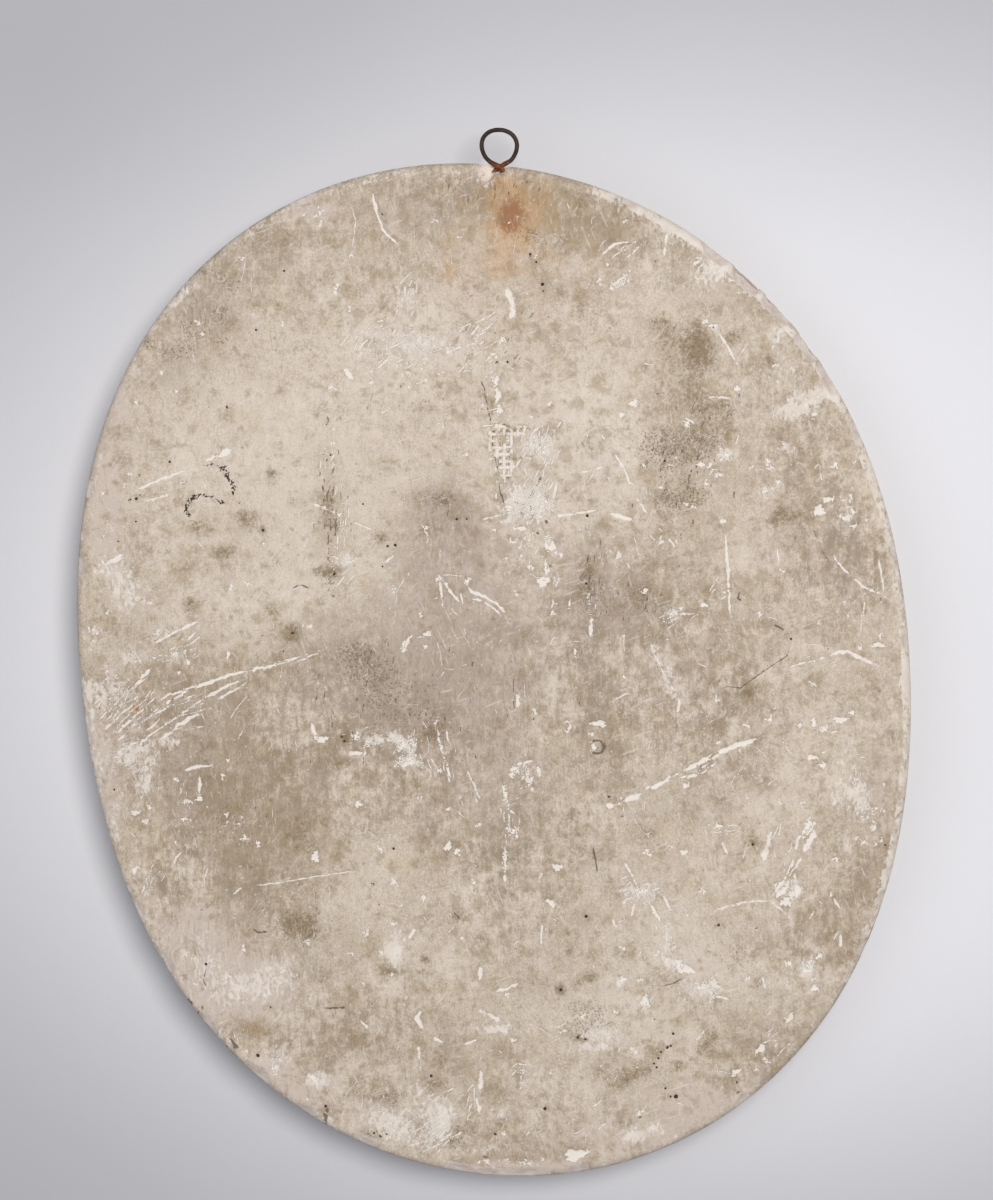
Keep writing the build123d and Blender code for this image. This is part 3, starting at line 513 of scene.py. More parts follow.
# Fans of fine pale strokes: middle x and y, spread x and y, direction in degrees, length, count, strength.
STROKES = [
    (-35.3, 147.7, 6, 7, 60, 7, 12, 0.8), (-48.5, 130, 8, 9, 47, 12, 26, 0.8),
    (-34, 128, 14, 7, 28, 9, 30, 0.85), (-32.5, 129.5, 9, 4, 20, 5, 10, 0.9),
    (-7, 130, 8, 12, 35, 6, 26, 0.8), (-2, 112, 3, 12, 85, 4, 8, 0.6), (50, 168, 8, 4, 35, 6, 8, 0.8),
    (87, 160, 8, 6, 40, 5, 10, 0.7), (125, 108, 12, 5, 30, 5, 10, 0.6), (-120, 80, 18, 6, 22, 12, 8, 0.4),
    (-61, 58, 3, 16, 88, 6, 16, 0.8), (-67, 84, 3, 8, 88, 4, 10, 0.8), (-62, 40, 6, 4, 50, 5, 8, 0.7),
    (18, 91, 8, 7, 66, 7, 26, 1), (3, 84, 4, 12, 88, 5, 18, 1), (2, 88, 4, 12, 2, 4, 12, 0.9),
    (12, 68, 8, 6, 30, 7, 14, 0.9), (19, 70, 7, 9, 70, 8, 26, 1.1), (13, 70, 8, 7, 118, 6, 16, 1),
    (12, 62, 11, 1.5, 2, 9, 6, 0.9), (14, 50, 8, 8, 70, 4, 14, 0.8), (22, 38, 4, 8, 80, 4, 8, 0.8),
    (50, 76, 8, 12, 118, 4, 10, 0.5), (37, 60, 4, 6, 85, 4, 6, 0.6), (38.5, 24, 1.6, 8, 90, 3, 8, 0.8),
    (72, 22, 6, 4, 25, 5, 8, 0.8), (88, 33, 4, 4, 45, 4, 6, 0.7), (66, 51, 5, 4, 120, 3, 6, 0.7),
    (-16, 28, 9, 7, 125, 5, 4, 0.5), (-2, 10, 10, 6, 45, 4, 5, 0.4), (-130, 8, 12, 12, 30, 9, 14, 0.6),
    (-151, -14, 8, 7, 47, 14, 20, 0.85), (-141, -17, 8, 8, 46, 11, 16, 0.8),
    (-120, -15, 14, 8, 25, 12, 10, 0.6), (-150, -33, 8, 8, 30, 6, 10, 0.6),
    (-138, -84, 3, 7, 62, 9, 6, 0.8), (-124, -50, 10, 8, 95, 3, 8, 0.6),
    (-104, -62, 8, 8, 70, 2.5, 10, 0.5), (-35, -32, 6, 6, 70, 5, 12, 0.9),
    (-50, -28, 10, 4, 10, 4, 10, 0.7), (-24, -34, 8, 10, 105, 6, 10, 0.7),
    (-10, -48, 8, 10, 120, 5, 8, 0.6), (6, -62, 5, 22, 92, 4, 14, 0.7), (12, -44, 6, 6, 20, 4, 6, 0.7),
    (60, -90, 9, 7, 35, 6, 14, 0.8), (66, -104, 6, 8, 100, 5, 8, 0.6), (90, -64, 7, 5, 5, 5, 6, 0.6),
    (112, -70, 8, 10, 75, 6, 8, 0.6), (146, -48, 5, 12, 80, 4, 12, 0.6), (130, -22, 12, 6, 20, 4, 8, 0.6),
    (-24, -187, 9, 5, 38, 12, 14, 0.9), (-22, -172, 8, 7, 45, 7, 8, 0.7), (-10, -174, 4, 8, 75, 6, 8, 0.8),
    (10, -162, 3, 5, 50, 3, 8, 0.8), (24, -182, 20, 8, 35, 4, 14, 0.6), (60, -138, 5, 4, 60, 3, 6, 0.8),
    (-86, -154, 5, 5, 45, 4, 10, 0.7), (-104, -147, 4, 3, 95, 3, 6, 0.8), (-82, -150, 6, 6, 40, 6, 6, 0.4),
    (118, -146, 14, 8, 50, 5, 8, 0.7), (110, -125, 4, 6, 100, 4, 5, 0.6), (150, 30, 8, 8, 40, 6, 8, 0.6),
    (130, 4, 14, 5, 15, 6, 6, 0.5), (-90, 172, 8, 4, 35, 5, 6, 0.5), (-20, 172, 14, 8, 60, 4, 8, 0.35),
    (38, -145, 14, 5, 22, 6, 14, 0.5), (64, -110, 10, 8, 60, 4, 10, 0.5),
    (-46, 84, 40, 40, 80, 4, 14, 0.4), (90, 0, 30, 40, 70, 4, 14, 0.4), (0, -30, 60, 30, 85, 4, 20, 0.4),
    (-60, -120, 40, 20, 60, 4, 14, 0.35),
]

# Fans of fine dark strokes, given the same way.
DARK_STROKES = [
    (-66, 66, 6, 26, 88, 4, 34, 0.6), (-58, 60, 3, 16, 88, 3, 8, 0.5), (76, 76, 20, 20, 80, 2.4, 60, 0.6),
    (90, 104, 12, 12, 60, 2.4, 20, 0.5), (40, 36, 5, 16, 88, 3, 16, 0.6),
    (56, 26, 14, 12, 80, 2.6, 24, 0.5), (-40, -6, 34, 22, 85, 2.6, 70, 0.5),
    (-4, -16, 34, 24, 92, 2.6, 50, 0.45), (0, 192, 30, 8, 75, 2.2, 30, 0.5),
    (-94, -40, 24, 26, 84, 2.6, 40, 0.4), (36, -60, 30, 20, 88, 2.4, 30, 0.4),
    (14, 68, 9, 7, 75, 3, 18, 0.8), (20, -130, 40, 20, 80, 2, 30, 0.4), (6, 130, 10, 14, 60, 3, 14, 0.5),
    (60, 172, 20, 8, 40, 2.4, 14, 0.5),
]

# Groups of small pale flecks: middle x and y, spread x and y, size, count.
FLECKS = [
    (-31, 120, 14, 8, 0.45, 20), (-71, 184, 8, 3, 0.6, 8), (88, 160, 9, 7, 0.5, 18),
    (126, 108, 12, 6, 0.5, 16), (-160, 14, 3, 5, 0.6, 8), (-153, -7, 9, 6, 0.5, 16),
    (-145, 5, 5, 6, 0.5, 8), (-133, 15, 4, 3, 0.6, 6), (13, 66, 9, 6, 0.7, 26), (18, 90, 6, 6, 0.5, 8),
    (16, 50, 8, 9, 0.6, 14), (22, 38, 4, 8, 0.5, 8), (93, 86, 3, 3, 0.5, 5), (72, 22, 4, 3, 0.7, 6),
    (109, 72, 4, 3, 0.6, 8), (140, 64, 5, 5, 0.4, 9), (-144, -33, 8, 8, 0.5, 12),
    (-48, -28, 6, 3, 0.6, 10), (-36, -34, 6, 4, 0.6, 12), (-32, -51, 4, 2, 0.5, 5),
    (59, -89, 6, 4, 0.6, 10), (150, -60, 6, 14, 0.5, 20), (119, -88, 3, 5, 0.5, 6),
    (-105, -60, 5, 4, 0.4, 6), (-44, -181, 9, 5, 0.5, 12), (-28, -190, 10, 5, 0.5, 10),
    (8, -197, 16, 2, 0.6, 14), (40, -146, 10, 5, 0.5, 16), (86, -129, 8, 4, 0.5, 12),
    (72, -112, 6, 8, 0.4, 10), (125, -119, 4, 4, 0.7, 8), (116, -150, 10, 6, 0.4, 8),
    (-88, -158, 4, 4, 0.5, 8), (-61, 44, 4, 3, 0.5, 8), (-66, 88, 3, 8, 0.4, 8), (76, 74, 16, 14, 0.4, 14),
    (11, -161, 2, 4, 0.6, 8),
]


# ==== painting the marks on mesh points ============================================================

def stains(layer, x, y):
    """One layer of soft stains, with edges that wander."""
    spots = flat(x, y)
    near = np.column_stack([noise(spots, 15, 31, 2), noise(spots, 15, 35, 2)]) * 3.5
    near += np.column_stack([noise(spots, 5, 41, 2), noise(spots, 5, 45, 2)]) * 1.2
    total = np.zeros_like(x)
    for middle_x, middle_y, half_x, half_y, strength in STAINS[layer]:
        looseness = min(1.0, min(half_x, half_y) / 6)
        across = (x + near[:, 0] * looseness - middle_x) / half_x
        along = (y + near[:, 1] * looseness - middle_y) / half_y
        total += strength * np.exp(-0.8 * (across ** 2 + along ** 2))
    return total


def relief(x, y):
    """How far the back stands above its level, in millimetres."""
    spots = flat(x, y)
    height = 0.30 * noise(spots, 60, 51) + 0.14 * noise(spots, 19, 52) + 0.06 * noise(spots, 6, 53, 2)
    trowelled = np.column_stack([0.35 * x + y, x - 0.35 * y, np.zeros_like(x)]) * (0.25, 1.0, 1.0)
    height += 0.07 * noise(trowelled, 5, 56, 2)
    for index in (2, 4):
        low, high = node_box(f"scrim_strip_{index}")
        left, right = low[0] - MIDDLE[0], high[0] - MIDDLE[0]
        wander = 1.2 * noise(flat(x * 0, y), 22, 58)
        height += 0.16 * smooth_step(x + wander, left - 1.5, left + 1.0)
        height -= 0.16 * smooth_step(x + wander, right - 1.0, right + 1.5)
    inset = edge_inset(x, y)
    height -= 0.5 * (1 - smooth_step(inset, 0, 26))
    height -= 0.10 * smooth_step(stains("rub", x, y), 0.35, 0.8)
    return height


# ==== points of the back ===========================================================================

BASE_SPACING = 1.6
CLAIM = 0.24            # two marks' points closer than this are one
MARK_CLEARANCE = 0.8    # the plain points keep about this far from the marks'
DISC_INSET = 4.6        # the back's inner disc ends this far inside the edge
SCAB_STEP = 0.42
SCAB_REACH = 1.26
SCRATCH_COUNT = 330     # loose marks all over the back
SPECK_COUNT = 900
PINHOLE_COUNT = 60
HALF_WIDTH, HALF_HEIGHT = 168, 204


class MarkPoints:
    """Collects the points of the gouges, cracks and holes, with what each does to the surface."""

    def __init__(self):
        self.rows = []

    def add(self, x, y, gouge=0.0, crack=0.0, hole=0.0, depth=0.0):
        self.rows.append((x, y, gouge, crack, hole, depth))

    def array(self):
        """The rows that lie on the inner disc, one for each claimed place."""
        rows = np.array(self.rows)
        rows = rows[edge_inset(rows[:, 0], rows[:, 1]) > DISC_INSET + 0.4]
        cells = np.floor(rows[:, :2] / CLAIM).astype(int)
        keys = cells[:, 0] * 100003 + cells[:, 1]
        first = np.unique(keys, return_index=True)[1]
        return rows[np.sort(first)]


def walk(points, step):
    """A line through placed points: its evenly spaced points, the directions across it, and how far on."""
    corners = np.array(points, float)
    lengths = np.hypot(*np.diff(corners, axis=0).T)
    reach = np.concatenate([[0], np.cumsum(lengths)])
    count = max(3, int(reach[-1] / step) + 1)
    along = np.linspace(0, reach[-1], count)
    line = np.column_stack([np.interp(along, reach, corners[:, 0]), np.interp(along, reach, corners[:, 1])])
    direction = np.gradient(line, axis=0)
    direction /= np.hypot(direction[:, 0], direction[:, 1])[:, None]
    return line, np.column_stack([-direction[:, 1], direction[:, 0]]), along / reach[-1]


def eased(values):
    """A row of values, each evened out with its neighbours."""
    wide = np.concatenate([values[:1], values, values[-1:]])
    return (wide[:-2] + 2 * wide[1:-1] + wide[2:]) / 4


def add_line(marks, points, width, strength, kind, dice):
    """A gouge or a crack that tapers at both ends."""
    line, across, share = walk(points, 0.75)
    wobble = eased(dice.normal(0, 0.12 + 0.04 * width, len(line)))
    line = line + across * wobble[:, None]
    taper = np.clip(np.minimum(share, 1 - share) * 6, 0.25, 1)
    widths = width * taper * eased(dice.uniform(0.5, 1.5, len(line)))
    values = strength * np.clip(taper * eased(dice.uniform(0.6, 1.4, len(line))), 0, 1)
    for spot, side, half, value in zip(line, across, widths, values):
        depth = value * (0.10 + 0.22 * width)
        if kind == "gouge":
            marks.add(*spot, gouge=value, depth=depth)
        else:
            marks.add(*spot, crack=value, depth=1.4 * depth)
        for way in (-half, half):
            marks.add(*(spot + side * way))


def add_hole(marks, x, y, radius, dice):
    """A dark pinhole with a ragged rim."""
    marks.add(x, y, hole=1.0, depth=1.1 * radius)
    for share, value, depth in ((0.62, 0.85, 0.7 * radius), (1.15, 0.0, 0.0)):
        turn = dice.uniform(0, 2)
        for corner in range(7):
            angle = turn + corner * 2 * math.pi / 7
            reach = radius * share * dice.uniform(0.8, 1.2)
            marks.add(x + reach * math.cos(angle), y + reach * math.sin(angle), hole=value, depth=depth)


def add_scab(marks, points, half_width, dice):
    """A crust of black growth along a line, thick here and thin there."""
    line, across = walk(points, SCAB_STEP)[:2]
    thickness = eased(eased(dice.uniform(0.0, 2.0, len(line))))
    for spot, side, thick in zip(line, across, thickness):
        spot = spot + dice.normal(0, 0.12, 2)
        for reach in np.arange(-SCAB_REACH, SCAB_REACH + 0.04, SCAB_STEP):
            black = abs(reach) < half_width * thick and dice.uniform() < 0.80
            value = dice.uniform(0.6, 1.0) if black else 0.0
            marks.add(*(spot + side * reach), hole=value, depth=0.2 * value)


def add_chip(marks, x, y, half_length, half_width, direction, dice, depth=0.35):
    """A clean white patch with a ragged outline and a flat floor."""
    turn = math.radians(direction)
    for share in (1.0, 0.84, 0.45, 0.0):
        around = max(1, int(2 * math.pi * share * (half_length + half_width) / 2 / 0.55))
        for corner in range(around):
            angle = corner * 2 * math.pi / around
            reach = share if share == 0.45 else share * (1 + dice.uniform(-0.06, 0.06))
            ragged = 1 + 0.22 * math.sin(3 * angle + x) + 0.14 * math.sin(7 * angle + y)
            far = half_length * reach * ragged * math.cos(angle)
            wide = half_width * reach * ragged * math.sin(angle)
            spot_x = x + far * math.cos(turn) - wide * math.sin(turn)
            spot_y = y + far * math.sin(turn) + wide * math.cos(turn)
            white = 0.0 if share == 1.0 else 1.0
            marks.add(spot_x, spot_y, gouge=white, depth=depth * white * dice.uniform(0.8, 1.2))


def placed_marks():
    """The marks of the lists above, but for the scattered ones."""
    marks = MarkPoints()
    dice = np.random.RandomState(7)
    for x, y, half_length, half_width, direction in CHIPS:
        add_chip(marks, x, y, half_length, half_width, direction, dice)
    for x, y, radius in PINHOLES:
        add_hole(marks, x, y, radius, dice)
    for half_width, points in SOOT:
        add_scab(marks, points, half_width, dice)
    for width, strength, points in CRACKS:
        add_line(marks, points, width, strength, "crack", dice)
    for width, strength, points in GOUGES:
        add_line(marks, points, 1.2 * width, strength, "gouge", dice)
    return marks


def scatter(marks):
    """Small marks that nobody would place one by one: fans, groups of flecks, and loose ones."""
    dice = np.random.RandomState(29)
    fans = [("gouge",) + fan for fan in STROKES] + [("crack",) + fan for fan in DARK_STROKES]
    for kind, x, y, spread_x, spread_y, direction, length, count, strength in fans:
        for stroke in range(count):
            middle = np.array([x + spread_x * dice.normal(0, 0.5), y + spread_y * dice.normal(0, 0.5)])
            way = math.radians(direction + dice.normal(0, 9))
            step = np.array([math.cos(way), math.sin(way)]) * length * dice.uniform(0.3, 0.75)
            bend = np.array([-step[1], step[0]]) * dice.normal(0, 0.12)
            points = [middle - step, middle + bend, middle + step]
            add_line(marks, points, dice.uniform(0.35, 0.75), strength * dice.uniform(0.8, 1.3), kind, dice)
    for x, y, spread_x, spread_y, size, count in FLECKS:
        for fleck in range(count):
            spot_x, spot_y = x + spread_x * dice.normal(0, 0.5), y + spread_y * dice.normal(0, 0.5)
            half = size * dice.uniform(0.5, 1.1)
            length = half * dice.uniform(1, 2.2)
            add_chip(marks, spot_x, spot_y, length, half, dice.uniform(0, 180), dice, depth=0.15)
    dice = np.random.RandomState(23)
    for scratch in range(SCRATCH_COUNT):
        angle = dice.uniform(0, 2 * math.pi)
        reach = math.sqrt(dice.uniform(0, 1)) * 0.95
        radius = reach * float(edge_radius(np.array([angle]))[0])
        start = np.array([radius * math.cos(angle), radius * math.sin(angle)])
        way = dice.choice([35, 60, 85, 95, 120, 160]) + dice.normal(0, 14)
        length = dice.gamma(2.0, 2.6) + 2
        step = np.array([math.cos(math.radians(way)), math.sin(math.radians(way))]) * length / 2
        bend = np.array([-step[1], step[0]]) * dice.normal(0, 0.10)
        points = [start, start + step + bend, start + 2 * step]
        add_line(marks, points, dice.uniform(0.3, 0.5), dice.uniform(0.45, 0.85), "gouge", dice)
    for speck in range(SPECK_COUNT):
        x, y = dice.uniform(-HALF_WIDTH, HALF_WIDTH), dice.uniform(-HALF_HEIGHT, HALF_HEIGHT)
        liking = 0.25 + float(stains("rub", np.array([x]), np.array([y]))[0])
        if dice.uniform() < liking:
            size = dice.uniform(0.3, 0.8)
            turn = dice.uniform(0, 180)
            add_chip(marks, x, y, size * dice.uniform(1, 2), size, turn, dice, depth=0.12)
    for pinhole in range(PINHOLE_COUNT):
        x, y = dice.uniform(-HALF_WIDTH, HALF_WIDTH), dice.uniform(-HALF_HEIGHT, HALF_HEIGHT)
        add_hole(marks, x, y, dice.uniform(0.2, 0.36), dice)


# ==== broken patches ===============================================================================

# The bare patch in the middle, where the skin has come off the weave: x, y, half-width, half-height.
BARE_PATCH = [(2.8, 92, 5, 7.5), (4.8, 82, 3.6, 6), (10, 95.5, 5, 2.2)]
# The hollow broken out beside the loop, and the height of its floor.
WIRE_NOTCH = [(1.6, 203, 3.2, 4.2), (-3.6, 200.4, 3.6, 4.4), (6, 203.4, 4, 2)]
WIRE_FLOOR = wire_low[2] + 1.2


def patch(shapes, x, y):
    """1 inside a ragged patch made of soft ovals, 0 outside."""
    spots = flat(x, y)
    wander_x, wander_y = 1.3 * noise(spots, 4, 91, 3), 1.3 * noise(spots, 4, 95, 3)
    nearest = np.full_like(x, 9.0)
    for middle_x, middle_y, half_x, half_y in shapes:
        away = np.hypot((x + wander_x - middle_x) / half_x, (y + wander_y - middle_y) / half_y)
        nearest = np.minimum(nearest, (away - 1) * min(half_x, half_y))
    return 1 - smooth_step(nearest, -0.9, 0.5)


def notch_floor(x, y):
    """The uneven floor of the hollow beside the loop."""
    return WIRE_FLOOR + 0.35 * noise(flat(x, y), 2.5, 98, 2)


# ==== materials ====================================================================================

def tint(red, green, blue):
    """A colour given as the eye sees it, 0 to 255, as the linear colour that nodes take."""
    parts = []
    for part in (red, green, blue):
        part = part / 255
        parts.append(part / 12.92 if part <= 0.04045 else ((part + 0.055) / 1.055) ** 2.4)
    return (parts[0], parts[1], parts[2], 1.0)


class Finish:
    """A procedural material under construction. Sizes of its textures are in millimetres."""

    def __init__(self, name):
        self.material = bpy.data.materials.new(name)
        self.material.use_nodes = True
        self.tree = self.material.node_tree
        self.shader = self.tree.nodes["Principled BSDF"]
        self.place = self.node("TexCoord", {}, "Object")

    def join(self, source, socket):
        if isinstance(source, bpy.types.NodeSocket):
            self.tree.links.new(source, socket)
        else:
            socket.default_value = source

    def node(self, kind, inputs, output=0, **settings):
        """A new node with its settings and inputs; gives back one of its outputs."""
        node = self.tree.nodes.new("ShaderNode" + kind)
        for name, value in settings.items():
            setattr(node, name, value)
        for name, value in inputs.items():
            self.join(value, node.inputs[name])
        return node.outputs[output]

    def layer(self, name):
        return self.node("Attribute", {}, "Fac", attribute_name=name)

    def plus(self, first, second):
        return self.node("Math", {0: first, 1: second}, operation="ADD")

    def minus(self, first, second):
        return self.node("Math", {0: first, 1: second}, operation="SUBTRACT")

    def times(self, first, second):
        return self.node("Math", {0: first, 1: second}, operation="MULTIPLY")

    def stretched(self, scale, turn=0.0):
        """Places for a texture squeezed by the given scale."""
        return self.node("Mapping", {"Scale": scale, "Rotation": (0, 0, turn), "Vector": self.place})

    def streaked(self, turn, length):
        """Places for a texture drawn out along a line that leans the given degrees from straight up."""
        inputs = {"Scale": (1.0, length, 1.0), "Rotation": (0, 0, math.radians(turn)), "Vector": self.place}
        return self.node("Mapping", inputs, vector_type="TEXTURE")

    def cloud(self, size, detail=3.0, roughness=0.55, place=None, distortion=0.0, offset=0.0):
        """Noise with features of the given size; about 0.5 on average."""
        inputs = {"W": offset, "Scale": 1000 / size, "Detail": detail, "Roughness": roughness,
                  "Distortion": distortion, "Vector": self.place if place is None else place}
        return self.node("TexNoise", inputs, "Fac", noise_dimensions="4D")

    def spots(self, size):
        """Distance to the nearest scattered point, in parts of the given size, and that point's chance."""
        distance = self.node("TexVoronoi", {"Scale": 1000 / size, "Vector": self.place}, "Distance")
        return distance, distance.node.outputs["Color"]

    def window(self, value, low, high, start=0.0, end=1.0):
        """From start to end while the value goes from low to high, eased at both."""
        inputs = {"Value": value, "From Min": low, "From Max": high, "To Min": start, "To Max": end}
        return self.node("MapRange", inputs, "Result", interpolation_type="SMOOTHSTEP")

    def blend(self, share, first, second):
        inputs = {"Factor": share, "A": first, "B": second}
        return self.node("Mix", inputs, "Result", data_type="RGBA", blend_type="MIX")

    def ramp(self, value, stops):
        colour = self.node("ValToRGB", {"Fac": value}, "Color")
        colour.node.color_ramp.interpolation = "EASE"
        entries = colour.node.color_ramp.elements
        for index, (place, shade) in enumerate(stops):
            entry = entries[index] if index < 2 else entries.new(place)
            entry.position = place
            entry.color = shade
        return colour

    def finish(self, colour, roughness, height, depth, metallic=0.0):
        """The finished material; its bumps are depth millimetres high for each unit of height."""
        bump = {"Strength": 1.0, "Distance": depth * MM, "Height": height}
        inputs = {"Base Color": colour, "Roughness": roughness, "Metallic": metallic,
                  "Specular IOR Level": 0.25, "Normal": self.node("Bump", bump, "Normal")}
        for name, value in inputs.items():
            self.join(value, self.shader.inputs[name])
        return self.material


CREAM = tint(211, 197, 181)
PALE = tint(220, 208, 195)
MEAN = tint(194, 179, 161)
DUSKY = tint(174, 158, 140)
DARK = tint(156, 140, 121)
MAUVE = tint(170, 155, 145)
OLIVE = tint(151, 132, 105)
SALLOW = tint(190, 172, 140)
ROSY = tint(196, 178, 168)
MOULD = tint(119, 99, 71)
PINK = tint(204, 188, 177)
BARE = tint(224, 212, 200)
WHITE = tint(235, 227, 217)
RUST = tint(200, 154, 98)
DEEP_RUST = tint(142, 84, 46)
CRACK = tint(112, 98, 84)
BLACK = tint(62, 54, 46)


def plaster_base(skin, tone):
    """Aged plaster: blotches at several sizes over the placed tone."""
    broad = skin.window(skin.cloud(55, 3.0, 0.55), 0.30, 0.70, -0.07, 0.07)
    middling = skin.window(skin.cloud(15, 3.0, 0.6, offset=2.0, distortion=0.6), 0.30, 0.70, -0.12, 0.12)
    patches = skin.window(skin.cloud(6.0, 3.0, 0.6, offset=3.0, distortion=0.5), 0.30, 0.70, -0.11, 0.11)
    close = skin.window(skin.cloud(2.4, 3.0, 0.65, offset=4.0), 0.28, 0.72, -0.14, 0.14)
    drawn = skin.cloud(2.4, 3.0, 0.6, place=skin.stretched((1.0, 0.22, 1.0), 0.2), offset=8.0)
    drawn = skin.window(drawn, 0.25, 0.75, -0.09, 0.09)
    worked = skin.plus(skin.plus(middling, patches), skin.plus(close, drawn))
    # dusky parts are more broken up than pale ones
    worked = skin.times(worked, skin.window(tone, -0.7, 0.5, 1.5, 0.65))
    # some parts were trowelled smooth, others left rough
    smoothed = skin.window(skin.cloud(42, 2.0, 0.5, offset=9.0), 0.38, 0.62, 0.62, 1.34)
    worked = skin.times(worked, smoothed)
    grain = skin.window(skin.cloud(0.8, 2.0, 0.6, offset=6.0), 0.25, 0.75, -0.18, 0.18)
    level = skin.plus(skin.times(tone, 0.30), broad)
    level = skin.plus(skin.plus(level, worked), grain)
    level = skin.plus(level, 0.51)
    return skin.ramp(level, [(0.0, DARK), (1.0, PALE), (0.28, DUSKY), (0.50, MEAN), (0.74, CREAM)]), level


def aged_plaster():
    """The back's skin: aged plaster, stained, mildewed, scratched and rubbed through in places."""
    skin = Finish("aged_plaster")
    colour, level = plaster_base(skin, skin.layer("tone"))
    ragged = skin.cloud(1.6, 4.0, 0.7, offset=11.0)
    blotch = skin.cloud(5.0, 4.0, 0.6, offset=13.0)

    def stained(name, low, high, strength, texture):
        """How much a stain's colour shows, its edge broken up by a texture."""
        rough = skin.window(texture, 0.25, 0.75, -0.30, 0.30)
        return skin.window(skin.plus(skin.layer(name), rough), low, high, 0.0, strength)

    warm = skin.cloud(13.0, 4.0, 0.6, offset=12.0, distortion=0.5)
    colour = skin.blend(skin.window(warm, 0.50, 0.72, 0.0, 0.26), colour, SALLOW)
    colour = skin.blend(skin.window(warm, 0.50, 0.28, 0.0, 0.30), colour, ROSY)
    colour = skin.blend(stained("grey", 0.15, 0.95, 0.55, blotch), colour, MAUVE)
    colour = skin.blend(stained("brown", 0.15, 1.0, 0.50, blotch), colour, OLIVE)
    colour = skin.blend(stained("pink", 0.20, 0.90, 0.75, ragged), colour, PINK)
    colour = skin.blend(stained("rust", 0.10, 1.10, 0.50, blotch), colour, RUST)
    colour = skin.blend(stained("rust", 1.1, 1.7, 0.7, ragged), colour, DEEP_RUST)

    # faint mildew everywhere, in soft spots that crowd together where it was damp
    damp = skin.window(skin.cloud(70, 2.0, 0.5, offset=10.0), 0.35, 0.65, -0.05, 0.05)
    faint = skin.plus(skin.cloud(6.5, 3.0, 0.62, offset=14.5, distortion=0.3), damp)
    colour = skin.blend(skin.window(faint, 0.555, 0.67, 0.0, 0.40), colour, OLIVE)
    ragged_edge = skin.window(skin.cloud(2.0, 3.0, 0.65, offset=12.5), 0.25, 0.75, -0.22, 0.22)
    grainy = skin.window(skin.cloud(1.3, 3.0, 0.7, offset=14.0), 0.32, 0.68, 0.45, 1.45)
    for size, rarity, strength in ((13.0, 0.50, 0.50), (7.0, 0.52, 0.46), (3.6, 0.54, 0.42)):
        distance, chance = skin.spots(size)
        nearness = skin.window(skin.plus(distance, ragged_edge), 0.46, 0.06, 0.0, 1.0)
        wanted = skin.window(skin.plus(chance, damp), rarity, rarity + 0.20, 0.0, strength)
        share = skin.times(skin.times(nearness, wanted), grainy)
        colour = skin.blend(share, colour, OLIVE)

    # mildew: ragged specks that crowd together where the mould layer is strong, and a few round spots
    mould = skin.layer("mould")
    rough_mould = skin.window(ragged, 0.25, 0.75, -0.28, 0.28)
    haze = skin.window(skin.plus(mould, rough_mould), 0.12, 1.15, 0.0, 0.52)
    colour = skin.blend(skin.times(haze, grainy), colour, OLIVE)
    heart = skin.window(skin.plus(mould, rough_mould), 0.85, 1.45, 0.0, 0.40)
    colour = skin.blend(heart, colour, MOULD)
    for size, rarity, strength in ((2.6, 0.60, 0.20), (1.3, 0.60, 0.34), (0.8, 0.60, 0.36)):
        specks = skin.cloud(size, 2.0, 0.5, offset=15.0 + size)
        wanted = skin.minus(specks, skin.window(mould, 0.0, 1.0, rarity + 0.10, rarity - 0.13))
        colour = skin.blend(skin.window(wanted, 0.0, 0.07, 0.0, strength), colour, MOULD)
    distance, chance = skin.spots(3.6)
    wanted = skin.minus(skin.times(mould, 0.9), chance)
    share = skin.times(skin.window(distance, 0.34, 0.10), skin.window(wanted, -0.12, 0.10, 0.0, 0.26))
    colour = skin.blend(share, colour, MOULD)

    # pepper: fine dark specks
    specks = skin.cloud(0.75, 2.0, 0.5, offset=16.0)
    wanted = skin.minus(specks, skin.window(skin.layer("pepper"), 0.0, 1.0, 0.72, 0.50))
    colour = skin.blend(skin.window(wanted, 0.0, 0.06, 0.0, 0.60), colour, CRACK)

    # hair-fine marks drawn down the dusky parts, dark and pale
    hair = skin.cloud(1.1, 2.0, 0.6, place=skin.stretched((1.0, 0.22, 1.0), 0.12), offset=18.0)
    dusky = skin.window(skin.layer("tone"), 0.4, -0.6, 0.25, 1.0)
    dark_hair = skin.times(skin.window(hair, 0.56, 0.68, 0.0, 0.55), dusky)
    colour = skin.blend(dark_hair, colour, OLIVE)
    pale_hair = skin.times(skin.window(hair, 0.40, 0.30, 0.0, 0.32), dusky)
    colour = skin.blend(pale_hair, colour, PALE)

    # hair scratches in loose groups, each leaning its own way
    for turn, size, offset in ((-38, 1.0, 71.0), (24, 0.9, 73.0), (-72, 0.9, 75.0), (8, 0.8, 77.0)):
        scratch = skin.cloud(size, 1.0, 0.5, place=skin.streaked(turn, 9.0), offset=offset)
        group = skin.window(skin.cloud(26, 2.0, 0.5, offset=offset + 1.0), 0.46, 0.60, 0.0, 0.50)
        share = skin.times(skin.window(scratch, 0.64, 0.72), group)
        colour = skin.blend(share, colour, PALE)
        share = skin.times(skin.window(scratch, 0.34, 0.27), group)
        colour = skin.blend(skin.times(share, 0.6), colour, OLIVE)

